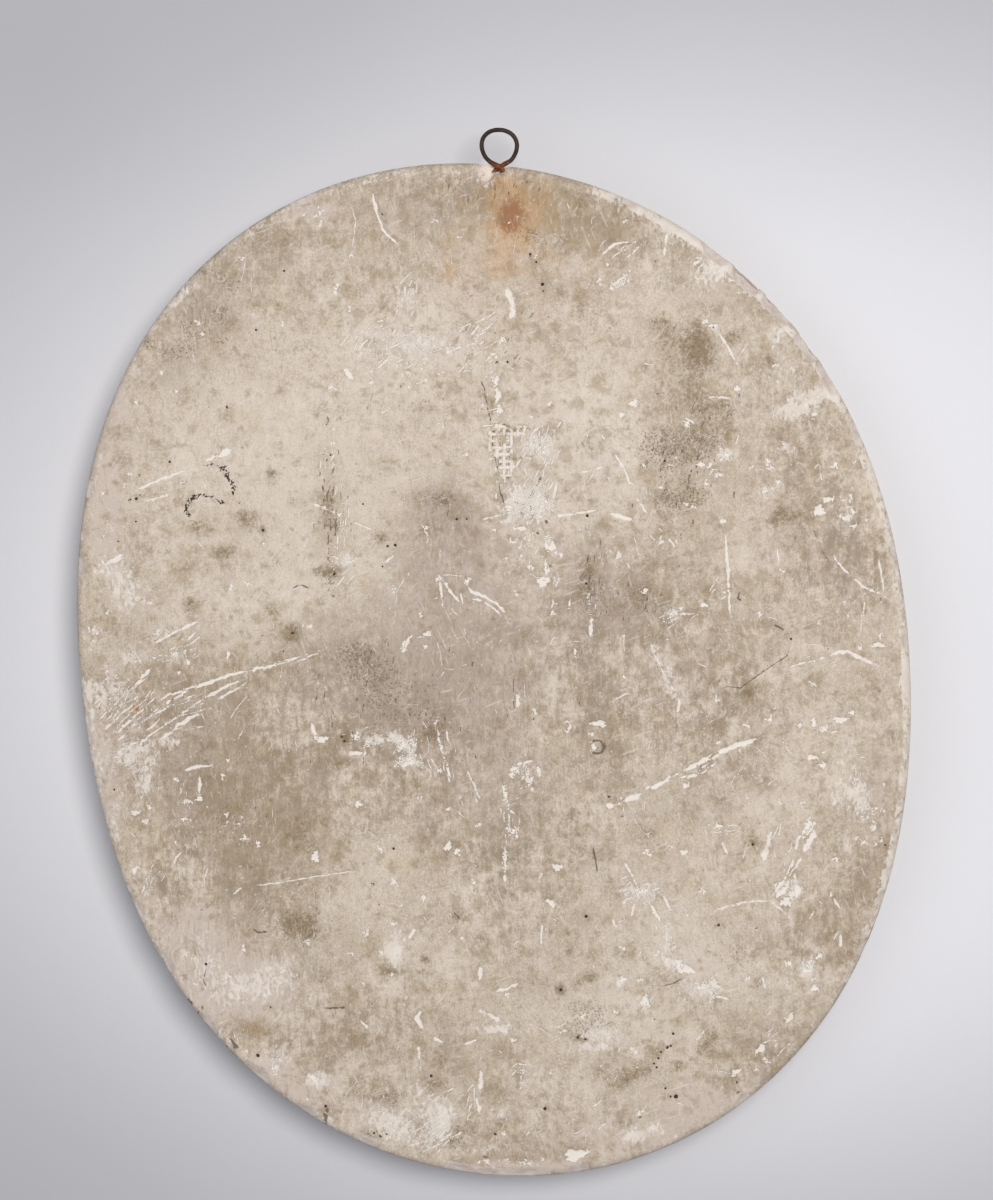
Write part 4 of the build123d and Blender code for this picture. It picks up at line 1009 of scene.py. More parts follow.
    # freckles everywhere
    distance, chance = skin.spots(4.5)
    freckle = skin.times(skin.window(distance, 0.16, 0.06), skin.window(chance, 0.62, 0.70, 0.0, 0.6))
    colour = skin.blend(freckle, colour, DARK)
    distance, chance = skin.spots(2.3)
    fleck = skin.times(skin.window(distance, 0.20, 0.10), skin.window(chance, 0.60, 0.72, 0.0, 0.7))
    colour = skin.blend(fleck, colour, PALE)

    # the skin is rubbed through where the rub layer and a ragged texture agree
    slanted = skin.stretched((1.0, 0.6, 1.0), 0.7)
    torn = skin.cloud(1.7, 5.0, 0.72, place=slanted, offset=17.0, distortion=0.4)
    torn = skin.window(torn, 0.25, 0.75, -0.60, 0.60)
    thin = skin.window(skin.cloud(24, 3.0, 0.6, offset=19.0), 0.35, 0.70, -0.12, 0.34)
    thinned = skin.plus(skin.plus(skin.layer("rub"), thin), torn)
    rubbed = skin.window(thinned, 0.40, 1.00, 0.0, 0.85)
    colour = skin.blend(rubbed, colour, skin.blend(skin.window(blotch, 0.42, 0.70), BARE, WHITE))

    # where the skin is gone
    patchy = skin.blend(skin.window(blotch, 0.35, 0.65, 0.0, 1.0), PINK, BARE)
    colour = skin.blend(skin.window(skin.layer("bare"), 0.35, 0.65, 0.0, 1.0), colour, patchy)
    woven = skin.blend(skin.window(ragged, 0.40, 0.60, 0.0, 1.0), MOULD, BARE)
    colour = skin.blend(skin.window(skin.layer("weave"), 0.3, 0.7, 0.0, 0.85), colour, woven)

    chipped = skin.window(ragged, 0.25, 0.75, -0.24, 0.24)
    cut = skin.window(skin.plus(skin.layer("gouge"), chipped), 0.28, 0.55, 0.0, 0.92)
    colour = skin.blend(cut, colour, skin.blend(skin.window(blotch, 0.3, 0.5), BARE, WHITE))
    split = skin.window(skin.plus(skin.layer("crack"), chipped), 0.30, 0.60, 0.0, 0.9)
    colour = skin.blend(split, colour, CRACK)
    holed = skin.window(skin.layer("hole"), 0.45, 0.75, 0.0, 1.0)
    colour = skin.blend(holed, colour, BLACK)

    height = skin.times(level, 0.6)
    height = skin.plus(height, skin.times(ragged, 0.5))
    height = skin.minus(height, skin.times(rubbed, 0.25))
    height = skin.minus(height, skin.times(cut, 0.35))
    height = skin.minus(height, skin.times(split, 0.5))
    roughness = skin.window(ragged, 0.2, 0.8, 0.84, 0.96)
    return skin.finish(colour, roughness, height, 0.45)


def wall_plaster(coarse):
    """The two cast coats: the coarse backing, or the fine face coat."""
    wall = Finish("backing_plaster" if coarse else "fine_plaster")
    colour, level = plaster_base(wall, wall.layer("tone"))
    blotch = wall.cloud(9.0, 4.0, 0.6, offset=21.0)
    fine = wall.cloud(0.8, 3.0, 0.7, offset=23.0)
    ground = PINK if coarse else BARE
    colour = wall.blend(0.62 if coarse else 0.78, colour, ground)
    colour = wall.blend(wall.window(blotch, 0.50, 0.72, 0.0, 0.45), colour, DUSKY)
    runs = wall.cloud(5.0, 3.0, 0.6, place=wall.stretched((1.0, 1.0, 0.15)), offset=25.0)
    colour = wall.blend(wall.window(runs, 0.52, 0.70, 0.0, 0.35), colour, OLIVE)
    distance, chance = wall.spots(3.0)
    wanted = wall.window(chance, 0.55, 0.62, 0.0, 0.7 if coarse else 0.45)
    pit = wall.times(wall.window(distance, 0.20, 0.10), wanted)
    colour = wall.blend(pit, colour, CRACK)
    scuff = wall.cloud(3.0, 5.0, 0.75, offset=27.0)
    colour = wall.blend(wall.window(scuff, 0.58, 0.66, 0.0, 0.7), colour, WHITE)
    height = wall.plus(wall.times(level, 0.5), wall.times(fine, 0.6))
    height = wall.minus(height, wall.times(pit, 1.2))
    roughness = wall.window(fine, 0.2, 0.8, 0.80, 0.94)
    return wall.finish(colour, roughness, height, 0.35 if coarse else 0.2)


def rusty_iron():
    """Dark wire with orange crust where its rust layer is strong."""
    iron = Finish("iron_wire")
    crust = iron.cloud(1.4, 4.0, 0.7, offset=31.0)
    streak = iron.cloud(4.0, 3.0, 0.6, offset=33.0)
    colour = iron.blend(iron.window(streak, 0.35, 0.65), tint(44, 36, 31), tint(70, 54, 44))
    orange = iron.blend(iron.window(crust, 0.35, 0.65), tint(78, 46, 30), tint(132, 76, 44))
    rough = iron.window(crust, 0.25, 0.75, -0.35, 0.35)
    rusted = iron.window(iron.plus(iron.layer("rust"), rough), 0.20, 0.65)
    colour = iron.blend(rusted, colour, orange)
    metallic = iron.window(crust, 0.35, 0.60, 0.55, 0.0)
    roughness = iron.window(crust, 0.3, 0.7, 0.38, 0.85)
    return iron.finish(colour, roughness, crust, 0.25, metallic)


def hessian():
    """The buried cloth."""
    cloth = Finish("hessian")
    fibre = cloth.cloud(0.8, 3.0, 0.7, place=cloth.stretched((1.0, 0.3, 1.0)), offset=41.0)
    blotch = cloth.cloud(14.0, 3.0, 0.6, offset=43.0)
    colour = cloth.blend(cloth.window(fibre, 0.3, 0.7), tint(128, 104, 74), tint(176, 152, 116))
    colour = cloth.blend(cloth.window(blotch, 0.40, 0.65, 0.0, 0.7), colour, MEAN)
    roughness = cloth.window(fibre, 0.3, 0.7, 0.85, 0.98)
    return cloth.finish(colour, roughness, fibre, 0.3)


def clogged_thread():
    """Threads of the bare patch, with plaster in them."""
    thread = Finish("hessian_clogged")
    fibre = thread.cloud(0.9, 3.0, 0.7, offset=51.0)
    blotch = thread.cloud(4.0, 4.0, 0.65, offset=53.0)
    colour = thread.blend(thread.window(fibre, 0.3, 0.7), tint(176, 158, 132), tint(206, 192, 170))
    colour = thread.blend(thread.window(blotch, 0.36, 0.52, 0.0, 0.9), colour, WHITE)
    roughness = thread.window(fibre, 0.3, 0.7, 0.85, 0.98)
    return thread.finish(colour, roughness, fibre, 0.4)


# ==== the slab's edge ==============================================================================

COLUMNS = 980
ANGLES = np.arange(COLUMNS) * 2 * math.pi / COLUMNS
EDGE = edge_radius(ANGLES)
ROUNDING = 3.6
EDGE_WOBBLE = 0.12

# Places where the corner is knocked off: direction and half-width in degrees, depth in millimetres.
EDGE_CHIPS = [
    (270.5, 7, 3.6), (266, 2.2, 4), (274.5, 2.4, 3.8), (279.7, 1.8, 3.6), (283, 1.2, 2.4), (300, 1.6, 3),
    (309, 1, 2.4), (319, 1.3, 2.8), (323, 1.2, 3), (326.5, 1, 2.8), (329.5, 1.3, 3.2), (333, 1.2, 2.8),
    (336, 0.9, 2.4), (341, 1, 2.4), (349, 1.2, 2.4), (4, 1.3, 3.2), (17, 1, 2.8), (33, 2, 3.4),
    (41, 3, 4.2), (46, 2.6, 4.8), (52, 3, 4.6), (57, 2.6, 5.4), (62, 2.4, 4.4), (74, 1.4, 3), (97, 1.6, 2),
    (112, 2.6, 3), (118, 1.4, 2.4), (135, 1.2, 2.8), (156, 1.6, 3), (166, 1.8, 3.4), (187, 1.6, 3),
    (196, 1.2, 3.2), (214, 2, 3.6), (222, 1.6, 4.4), (231, 1.8, 3.6), (240, 2.2, 4), (247, 1.6, 3.4),
    (255, 1.8, 3.8),
]

# Dark marks painted in the cracked corner: direction and half-width in degrees.
EDGE_DARK_MARKS = [(228.3, 1.5), (235.2, 0.9), (249.4, 0.5)]


def edge_dark_marks(points):
    """How dark each point of the rounded edge is painted, from 0 to 1."""
    degrees = np.degrees(np.arctan2(points[:, 1], points[:, 0])) % 360
    near = np.zeros(len(points))
    for direction, half_width in EDGE_DARK_MARKS:
        near = np.maximum(near, 1 - smooth_step(np.abs(degrees - direction) / half_width, 0.5, 1.2))
    return near * smooth_step(noise(points, 2.6, 171, 2), -0.12, 0.22)


def chip_depth(angles):
    """How deep the corner is cut at each angle."""
    degrees = np.degrees(angles) % 360
    ring = flat(np.cos(angles), np.sin(angles)) * 160
    depth = np.zeros_like(angles)
    for direction, half_width, deep in EDGE_CHIPS:
        away = (degrees - direction + 180) % 360 - 180
        ragged = half_width * (1 + 0.30 * noise(ring, 2.4, 71, 2))
        depth = np.maximum(depth, deep * (1 - smooth_step(np.abs(away), 0.55 * ragged, ragged)))
    small = noise(ring, 7, 75, 2)
    depth = np.maximum(depth, 2.6 * smooth_step(small, 0.42, 0.62))
    return depth * (1 + 0.16 * noise(ring, 1.6, 77, 2))


EDGE_CUT = chip_depth(ANGLES)
SKIN_DROP = BACK_LEVEL - SKIM_LEVEL - 0.05      # no chip goes right through the skin
RECESS_LEVEL = SKIM_LEVEL + 2.1                 # the underside of the skin over the scrim


def edge_rows(rows):
    """Points and bare plaster for rows of (inset, drop) round the whole edge."""
    points, bare = [], []
    for inset, drop in rows:
        ring = flat(170 * np.cos(ANGLES), 170 * np.sin(ANGLES), drop)
        softness = 1 + 0.30 * noise(ring * (1, 1, 0), 16, 81, 2)
        far = inset * np.where(inset <= ROUNDING, softness, 1 + (softness - 1) * (DISC_INSET - inset))
        far = np.maximum(far, 0) + EDGE_WOBBLE * (0.6 + noise(ring, 5, 83, 2)) * (0.4 if inset else 1.0)
        excess = np.maximum(0, EDGE_CUT - far - drop)
        share = 0.5 * np.clip((DISC_INSET - inset) / DISC_INSET, 0, 1)
        white = smooth_step(excess, 0.0, 0.35)
        fallen = np.maximum(drop, np.minimum(drop + excess * (1 - share), SKIN_DROP))
        far = far + np.where(excess > 0, drop + excess - fallen, 0)
        radius = EDGE - far
        x, y = radius * np.cos(ANGLES), radius * np.sin(ANGLES)
        height = np.minimum(relief(x, y) * max(0.0, 1 - drop / 3), 0.2)
        height += 0.07 * noise(ring, 3, 85, 2) * (excess > 0)
        notch = patch(WIRE_NOTCH, x, y)
        ceiling = BACK_LEVEL * (1 - notch) + notch_floor(x, y) * notch
        points.append(np.column_stack([x, y, np.minimum(BACK_LEVEL - fallen + height, ceiling)]))
        bare.append(np.maximum(white, notch))
    return points, bare


def plain_ring(inset, level, under=0.8):
    """A level ring that dips under the hollow beside the loop and under the knocked-off corners."""
    cut = EDGE_CUT - (BACK_LEVEL - level) + 0.15
    inset = inset + np.zeros(COLUMNS)
    if level < SKIM_LEVEL:
        inset = np.maximum(inset, np.minimum(cut, inset + 3.0))
    radius = EDGE - inset
    x, y = radius * np.cos(ANGLES), radius * np.sin(ANGLES)
    notch = patch(WIRE_NOTCH, x, y)
    hollow = BACK_LEVEL * (1 - notch) + (notch_floor(x, y) - under) * notch
    return np.column_stack([x, y, np.minimum(level, hollow)])


def ring_faces(first, second):
    """Quads between two rings given by their vertex numbers, the first one outside or above."""
    return np.column_stack([first, second, np.roll(second, -1), np.roll(first, -1)])


def make_piece(name, points, faces, layers, material, nodes):
    """A mesh object in metres, placed in the frame, with one float attribute for each layer."""
    points = np.asarray(points, float).copy()
    points[:, :2] += MIDDLE
    mesh = bpy.data.meshes.new(name)
    mesh.from_pydata((points * MM).tolist(), [], [list(face) for face in faces])
    mesh.update()
    for layer, values in layers.items():
        attribute = mesh.attributes.new(layer, "FLOAT", "POINT")
        attribute.data.foreach_set("value", np.asarray(values, np.float32))
    mesh.polygons.foreach_set("use_smooth", np.ones(len(mesh.polygons), bool))
    mesh.materials.append(material)
    piece = bpy.data.objects.new(name, mesh)
    bpy.context.scene.collection.objects.link(piece)
    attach(piece, "root")
    if nodes:
        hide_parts(*nodes)
    return piece


# ==== the aged back skin ===========================================================================

# Finer meshed parts, round the bare patch and beside the loop: left, right, low, high, spacing.
FINE_PARTS = [(-2, 28, 56, 102, 0.55), (-12, 14, 188, 204, 0.5)]
# How deep the bare patch lies.
PATCH_DEPTH = 1.45


def skin_points():
    """The points of the inner disc: x, y, gouge, crack, hole, depth. The first ones are its edge."""
    marks = placed_marks()
    scatter(marks)
    marked = marks.array()
    rim = EDGE - DISC_INSET
    rows = [np.column_stack([rim * np.cos(ANGLES), rim * np.sin(ANGLES)])]
    taken = set()
    for x, y in marked[:, :2]:
        column, row = int(x // MARK_CLEARANCE), int(y // MARK_CLEARANCE)
        taken.update((column + i, row + j) for i in (-1, 0, 1) for j in (-1, 0, 1))
    dice = np.random.RandomState(3)
    loose = []
    for inset, half_step in ((5.5, 0.5), (6.6, 0.0), (7.9, 0.5)):
        turn = ANGLES + half_step * ANGLES[1]
        radius = edge_radius(turn) - inset
        loose.append(np.column_stack([radius * np.cos(turn), radius * np.sin(turn)]))
    columns = np.arange(-170, 170, BASE_SPACING)
    across, along = np.meshgrid(columns, np.arange(-214, 214, BASE_SPACING * 0.866))
    across = across + np.where(np.arange(len(across)) % 2, BASE_SPACING / 2, 0)[:, None]
    grid = np.column_stack([across.ravel(), along.ravel()])
    grid += dice.uniform(-0.3, 0.3, grid.shape)
    loose.append(grid[edge_inset(grid[:, 0], grid[:, 1]) > 8.9])
    for left, right, low, high, step in FINE_PARTS:
        fine_x, fine_y = np.meshgrid(np.arange(left, right, step), np.arange(low, high, step))
        fine = np.column_stack([fine_x.ravel(), fine_y.ravel()])
        fine += dice.uniform(-0.15, 0.15, fine.shape)
        loose.append(fine[edge_inset(fine[:, 0], fine[:, 1]) > DISC_INSET + 0.6])
    for group in loose:
        cells = np.floor(group / MARK_CLEARANCE).astype(int)
        free = [tuple(cell) not in taken for cell in cells.tolist()]
        rows.append(group[np.array(free)])
    plain = np.vstack(rows)
    plain = np.column_stack([plain, np.zeros((len(plain), 4))])
    return np.vstack([plain, marked])


def skin_layers(points):
    """The stain layers at points."""
    x, y = points[:, 0], points[:, 1]
    return {layer: stains(layer, x, y) for layer in STAINS}


def rim_wear_and_painted_highlight(points):
    """The rounded edge is rubbed pale in patches; along the right it is made palest by a painted highlight
    on the side towards the light.
    """
    turn = np.arctan2(points[:, 1], points[:, 0])
    # painted highlight: the edge's right side is made paler, as light falling on it would make it
    right = smooth_step(np.cos(turn - 0.25), 0.45, 0.80)
    patchy = noise(points, 18, 161, 2)
    return 0.30 + 0.35 * patchy + right * 0.45


def make_skin():
    """The back's inner disc, meshed through its marks, with the rounded edge and an underside."""
    table = skin_points()
    spots = [Vector(spot) for spot in table[:, :2].tolist()]
    ring = [(index, (index + 1) % COLUMNS) for index in range(COLUMNS)]
    made = delaunay_2d_cdt(spots, ring, [], 1, 1e-4)
    corners, faces, sources = made[0], made[2], made[3]
    place = np.zeros(len(spots), int)
    for index, merged in enumerate(sources):
        place[merged] = index
    x, y = np.array([corner[:] for corner in corners]).T
    marks = table[[merged[0] for merged in sources], 2:]
    height = relief(x, y) - marks[:, 3]
    excess = np.maximum(0, chip_depth(np.arctan2(y, x)) - edge_inset(x, y))
    excess = np.minimum(excess, SKIN_DROP)
    weave = patch(BARE_PATCH, x, y)
    notch = patch(WIRE_NOTCH, x, y)
    height = height - excess - PATCH_DEPTH * weave + 0.12 * weave * noise(flat(x, y), 1.2, 97, 2)
    height = height * (1 - notch) + (notch_floor(x, y) - BACK_LEVEL) * notch
    height = np.minimum(height, 0.75)
    top = np.column_stack([x, y, BACK_LEVEL + height])
    layers = skin_layers(top)
    layers["gouge"], layers["crack"], layers["hole"] = marks[:, 0], marks[:, 1], marks[:, 2]
    layers["bare"] = np.maximum(smooth_step(excess, 0.0, 0.35), notch)
    layers["weave"] = weave

    # the rounded edge, its underside, and the recess that holds the scrim
    turns = np.radians(np.arange(0, 91, 15))
    rows = [(ROUNDING * (1 - math.sin(turn)), ROUNDING * (1 - math.cos(turn))) for turn in turns]
    rows.append((0.0, BACK_LEVEL - SKIM_LEVEL - 0.15))
    rings, bare = edge_rows(rows)
    rings.append(plain_ring(np.maximum(0.45, EDGE_CUT - SKIN_DROP + 0.1), SKIM_LEVEL))
    rings.append(plain_ring(8.0, SKIM_LEVEL))
    rings.append(plain_ring(8.8, RECESS_LEVEL))
    bare += [np.zeros(COLUMNS)] * 3
    side = np.vstack(rings)
    side_layers = skin_layers(side)
    # the edge's rub layer holds real wear in patches and a painted highlight along the right
    side_layers["rub"] += rim_wear_and_painted_highlight(side)
    side_layers["bare"] = np.concatenate(bare)
    side_layers["crack"] = 0.85 * edge_dark_marks(side)
    for layer in layers:
        extra = side_layers.get(layer, np.zeros(len(side)))
        layers[layer] = np.concatenate([layers[layer], extra, [0.0]])
    points = np.vstack([top, side, [(0, 0, RECESS_LEVEL)]])
    numbers = [place[:COLUMNS]]
    numbers += [len(top) + index * COLUMNS + np.arange(COLUMNS) for index in range(len(rings))]
    for first, second in zip(numbers, numbers[1:]):
        faces += ring_faces(first, second).tolist()
    last, hub = numbers[-1].tolist(), len(points) - 1
    faces += [(last[index], hub, last[(index + 1) % COLUMNS]) for index in range(COLUMNS)]
    return make_piece("back_skin", points, faces, layers, aged_plaster(), ["skim_coat"])


# ==== the two coats under the skin =================================================================

FACE_CHAMFER = 1.5
RIM_LAND = 17.0
BORDER_DEPTH = 7.0
BORDER_WIDTH = 15.0
FIELD_DEPTH = 13.0
WALL_SLOPE = math.tan(math.radians(25))
SEAM_INSET = 3.0      # how far the hidden faces between two coats run under the edge
WALL_ROW = 1.3


def wall_rows(low, high):
    """Levels from high to low down a wall, closer together at the seams."""
    count = max(3, int(round((high - low) / WALL_ROW)))
    inner = np.linspace(high - 0.5, low + 0.5, count)
    return [high, high - 0.2] + inner.tolist() + [low + 0.2, low]


def wall_ring(level, low, high):
    """One ring of a cast wall: soft at the seams, lightly uneven, with a few air holes and drips."""
    ring = flat(185 * np.cos(ANGLES), 185 * np.sin(ANGLES), level)
    seam = min(high - level, level - low)
    inset = np.full(COLUMNS, 0.55 * (1 - float(smooth_step(np.array(seam), 0, 0.5))))
    inset += 0.16 + 0.16 * noise(ring * (1, 1, 0.6), 11, 111, 2)
    inset += 0.05 * noise(ring, 2.5, 113, 2)
    inset -= 0.45 * smooth_step(noise(ring * (1, 1, 0.12), 5, 115), 0.50, 0.80)
    inset += 0.9 * smooth_step(noise(ring, 2.8, 117), 0.66, 0.82)
    return plain_ring(np.maximum(inset, 0.0), level)


def stack_rings(rings):
    """Faces of a closed body built of rings, from its middle top, over the edge, to its middle below."""
    faces = []
    for index in range(len(rings) - 1):
        first = index * COLUMNS + np.arange(COLUMNS)
        faces += ring_faces(first, first + COLUMNS).tolist()
    top_hub = len(rings) * COLUMNS
    last = top_hub - COLUMNS
    for index in range(COLUMNS):
        following = (index + 1) % COLUMNS
        faces.append((top_hub, index, following))
        faces.append((last + index, top_hub + 1, last + following))
    return faces


def make_backing():
    """The backing coat: its top under the skin, its wall, and the seam with the face coat."""
    cut = EDGE_CUT - (BACK_LEVEL - SKIM_LEVEL)
    rings = []
    for inset in (24, 16, 12, 9, 6, 4, 2.4, 1.2):
        ring = plain_ring(inset, SKIM_LEVEL, 1.6)
        ring[:, 2] -= np.clip(cut - inset, 0, 8)
        rings.append(ring)
    for level in wall_rows(BACKING_LEVEL, SKIM_LEVEL):
        ring = wall_ring(level, BACKING_LEVEL, SKIM_LEVEL)
        notch = patch(WIRE_NOTCH, ring[:, 0], ring[:, 1])
        ceiling = SKIM_LEVEL * (1 - notch) + (WIRE_FLOOR - 0.8) * notch
        ring[:, 2] = np.minimum(level, np.minimum(ceiling, SKIM_LEVEL - np.maximum(cut, 0)))
        rings.append(ring)
    rings.append(plain_ring(SEAM_INSET, BACKING_LEVEL))
    points = np.vstack(rings + [[(0, 0, SKIM_LEVEL), (0, 0, BACKING_LEVEL)]])
    return make_piece("backing_plaster", points, stack_rings(rings), skin_layers(points),
                      wall_plaster(coarse=True), ["backing_coat"])


def hollow_profile():
    """The moulding hollow as (inset, depth): a sloping wall, a flat border, a second wall and the field."""
    border = RIM_LAND + BORDER_DEPTH * WALL_SLOPE
    field = border + BORDER_WIDTH
    field_edge = field + (FIELD_DEPTH - BORDER_DEPTH) * WALL_SLOPE
    profile = [(RIM_LAND - 0.4, 0.0), (RIM_LAND, 0.25)]
    profile += [(RIM_LAND + depth * WALL_SLOPE, depth) for depth in (1.2, 3.0, 5.0, 6.4)]
    profile += [(border + 0.8, BORDER_DEPTH)]
    profile += [(border + share * (BORDER_WIDTH - 0.8), BORDER_DEPTH) for share in (0.35, 0.7, 1.0)]
    profile += [(field + (depth - BORDER_DEPTH) * WALL_SLOPE, depth) for depth in (7.3, 9.0, 11.0, 12.4)]
    profile += [(field_edge + more, FIELD_DEPTH) for more in (0.8, 8, 18, 30, 44, 60, 78, 96)]
    return profile


def make_face():
    """The face coat: its wall, the rim land that it lies on, and the moulding hollow."""
    rings = [plain_ring(SEAM_INSET, BACKING_LEVEL)]
    rings += [wall_ring(level, -4.0, BACKING_LEVEL) for level in wall_rows(FACE_CHAMFER, BACKING_LEVEL)]
    for share in (0.35, 0.7, 1.0):
        rings.append(plain_ring(0.25 + share * (FACE_CHAMFER - 0.25), FACE_CHAMFER * (1 - share)))
    for inset in (4.0, 8.0, 12.0, 15.5):
        rings.append(plain_ring(inset, 0.0))
    for inset, depth in hollow_profile():
        ring = plain_ring(inset, depth)
        ring[:, 2] += 0.12 * noise(ring, 24, 121, 2) * (depth > 0.3)
        rings.append(ring)
    points = np.vstack(rings + [[(0, 0, BACKING_LEVEL), (0, 0, FIELD_DEPTH)]])
    return make_piece("face_plaster", points, stack_rings(rings), skin_layers(points),
                      wall_plaster(coarse=False), ["face_coat"])


# ==== the iron wire ================================================================================

WIRE_RADIUS = 0.9
WIRE_SIDES = 16
LOOP_RADIUS = 7.15
LOOP_MIDDLE = (2.1, 210.3)


def wire_route():
    """The wire's centre line: up one buried leg, round the loop and down over itself into the other."""
    low, high = wire_low[2] + WIRE_RADIUS, wire_high[2] - WIRE_RADIUS
    corners = [(-21.0, 159.2, low), (-14.0, 165.0, low), (-7.6, 171.5, low), (-4.6, 180, low)]
    corners += [(-3.4, 190, low), (-2.2, 197.6, low), (0.6, 201.0, low), (3.2, 203.0, low)]
    turns = np.radians(np.linspace(-50, 222, 30))
    for index, turn in enumerate(turns):
        share = index / (len(turns) - 1)
        reach = LOOP_RADIUS + 0.22 * math.sin(3.1 * turn)
        x = LOOP_MIDDLE[0] + reach * math.cos(turn)
        y = LOOP_MIDDLE[1] + reach * math.sin(turn)
        corners.append((x, y, low + (high - low) * share))
    corners += [(-0.9, 203.6, high), (2.2, 202.3, high), (4.4, 199.6, high - 0.1)]
    right_leg = [(5.2, 194), (5.8, 187), (7, 178), (10, 167), (13, 161)]
    corners += [(x, y, high - 0.4) for x, y in right_leg]      # the leg lies a little below the crossing
    corners = np.array(corners)
    steps = np.linalg.norm(np.diff(corners, axis=0), axis=1)
    reach = np.concatenate([[0], np.cumsum(steps)])
    along = np.arange(0, reach[-1], 0.35)
    line = np.column_stack([np.interp(along, reach, corners[:, axis]) for axis in range(3)])
    for softening in range(6):
        line[1:-1] = (line[:-2] + 2 * line[1:-1] + line[2:]) / 4
    return line


def tube(line, radii, sides):
    """Points and faces of a closed tube along a line, its radius varying round and along it."""
    direction = np.gradient(line, axis=0)
    direction /= np.linalg.norm(direction, axis=1)[:, None]
    side = np.cross(direction, (0.0, 0.0, 1.0))
    side /= np.linalg.norm(side, axis=1)[:, None]
    up = np.cross(side, direction)
    points, faces = [], []
    for corner in range(sides):
        turn = 2 * math.pi * corner / sides
        points.append(line + (side * math.cos(turn) + up * math.sin(turn)) * radii[:, corner][:, None])
    points = np.stack(points, axis=1).reshape(-1, 3)
    last = (len(line) - 1) * sides
    for first in range(0, last, sides):
        second = first + sides
        for corner in range(sides):
            following = (corner + 1) % sides
            faces.append((first + corner, first + following, second + following, second + corner))
    faces.append(tuple(range(sides))[::-1])
    faces.append(tuple(range(last, last + sides)))
    return points, faces


def make_wire():
    """The wire, with a thick crust of rust round its crossing."""
    line = wire_route()
    radii = np.zeros((len(line), WIRE_SIDES))
    crossing = np.array([LOOP_MIDDLE[0], LOOP_MIDDLE[1] - 8.2])
    crust = np.exp(-0.5 * (np.hypot(*(line[:, :2] - crossing).T) / 2.4) ** 2)
    for corner in range(WIRE_SIDES):
        turn = 2 * math.pi * corner / WIRE_SIDES
        spots = line + np.array([math.cos(turn), math.sin(turn), 0]) * 2
        rough = 0.05 * noise(spots, 1.3, 131, 2) + 0.04 * noise(spots, 5, 133)
        lumps = 0.38 * crust * (0.5 + noise(spots, 1.6, 135, 2))
        radii[:, corner] = WIRE_RADIUS * (0.97 + rough) + lumps
    points, faces = tube(line, radii, WIRE_SIDES)
    layers = {"rust": np.repeat(np.clip(crust * 1.6, 0, 1), WIRE_SIDES)}
    return make_piece("wire_loop", points, faces, layers, rusty_iron(), ["hanger_wire"])


# ==== the scrim ====================================================================================

WEAVE_STEP = 1.3      # half of the weave's pitch
SCRIM_INSET = 9.3
STRIP_CLEARANCE = 0.3      # left free at each side of a strip


def scrim_ends(x):
    """The lowest and highest y of the scrim at each x, where it stops short of the slab's edge."""
    radius = EDGE - SCRIM_INSET
    curve_x, curve_y = radius * np.cos(ANGLES), radius * np.sin(ANGLES)
    ends = []
    for half in (curve_y <= 0, curve_y > 0):
        order = np.argsort(curve_x[half])
        ends.append(np.interp(x, curve_x[half][order], curve_y[half][order]))
    return ends


def make_strip(index):
    """One strip of the cloth, in the bed that its CAD node fills."""
    node = f"scrim_strip_{index}"
    low, high = node_box(node)
    left = low[0] - MIDDLE[0] + STRIP_CLEARANCE
    right = high[0] - MIDDLE[0] - STRIP_CLEARANCE
    columns = int((right - left) / WEAVE_STEP)
    rows = int((high[1] - low[1]) / WEAVE_STEP)
    x = np.linspace(left, right, columns + 1)
    bottom, top = scrim_ends(x)
    share = np.linspace(0, 1, rows + 1)[:, None]
    grid_x = np.repeat(x[None, :], rows + 1, axis=0)
    grid_y = bottom[None, :] * (1 - share) + top[None, :] * share
    row_number, column_number = np.mgrid[0:rows + 1, 0:columns + 1]
    woven = np.where((row_number + column_number) % 2, 1.0, -1.0)
    # the weave flattens out where the strip narrows and its rows crowd together
    crowding = np.clip((top - bottom) / (rows * WEAVE_STEP), 0, 1)
    grid_z = (low[2] + high[2]) / 2 + 0.2 * woven * crowding[None, :]
    points = np.column_stack([grid_x.ravel(), grid_y.ravel(), grid_z.ravel()])
    numbers = np.arange(len(points)).reshape(rows + 1, columns + 1)
    faces = np.stack([numbers[:-1, :-1], numbers[:-1, 1:], numbers[1:, 1:], numbers[1:, :-1]], axis=-1)
    piece = make_piece(f"scrim_{index}", points, faces.reshape(-1, 4).tolist(), {}, hessian(),
                       [node])
    return piece


THREAD_PITCH = 2.75
THREAD_SIDES = 8
THREAD_LEVEL = BACK_LEVEL - PATCH_DEPTH + 0.25
# The upright threads and the level ones: first and last thread's place, start and end of their run.
THREADS = [(-1.5, 27.5, 56, 101), (56.0, 102.0, -2, 28)]


def thread_line(way, number, place, start, end):
    """The middle line of one thread, upright (way 0) or level (way 1), over and under the others."""
    run = np.arange(start, end, 0.55)
    spots = flat(run, run)
    spots[:, way] = place
    spots[:, way] += 0.35 * noise(spots, 6, 141 + way, 2)
    weave = np.cos((run - start) * math.pi / THREAD_PITCH + math.pi * number) * (1 - 2 * way)
    clog = smooth_step(noise(spots, 7, 145, 2), -0.1, 0.5)
    spots[:, 2] = THREAD_LEVEL + 0.30 * weave - 0.75 * clog
    return spots


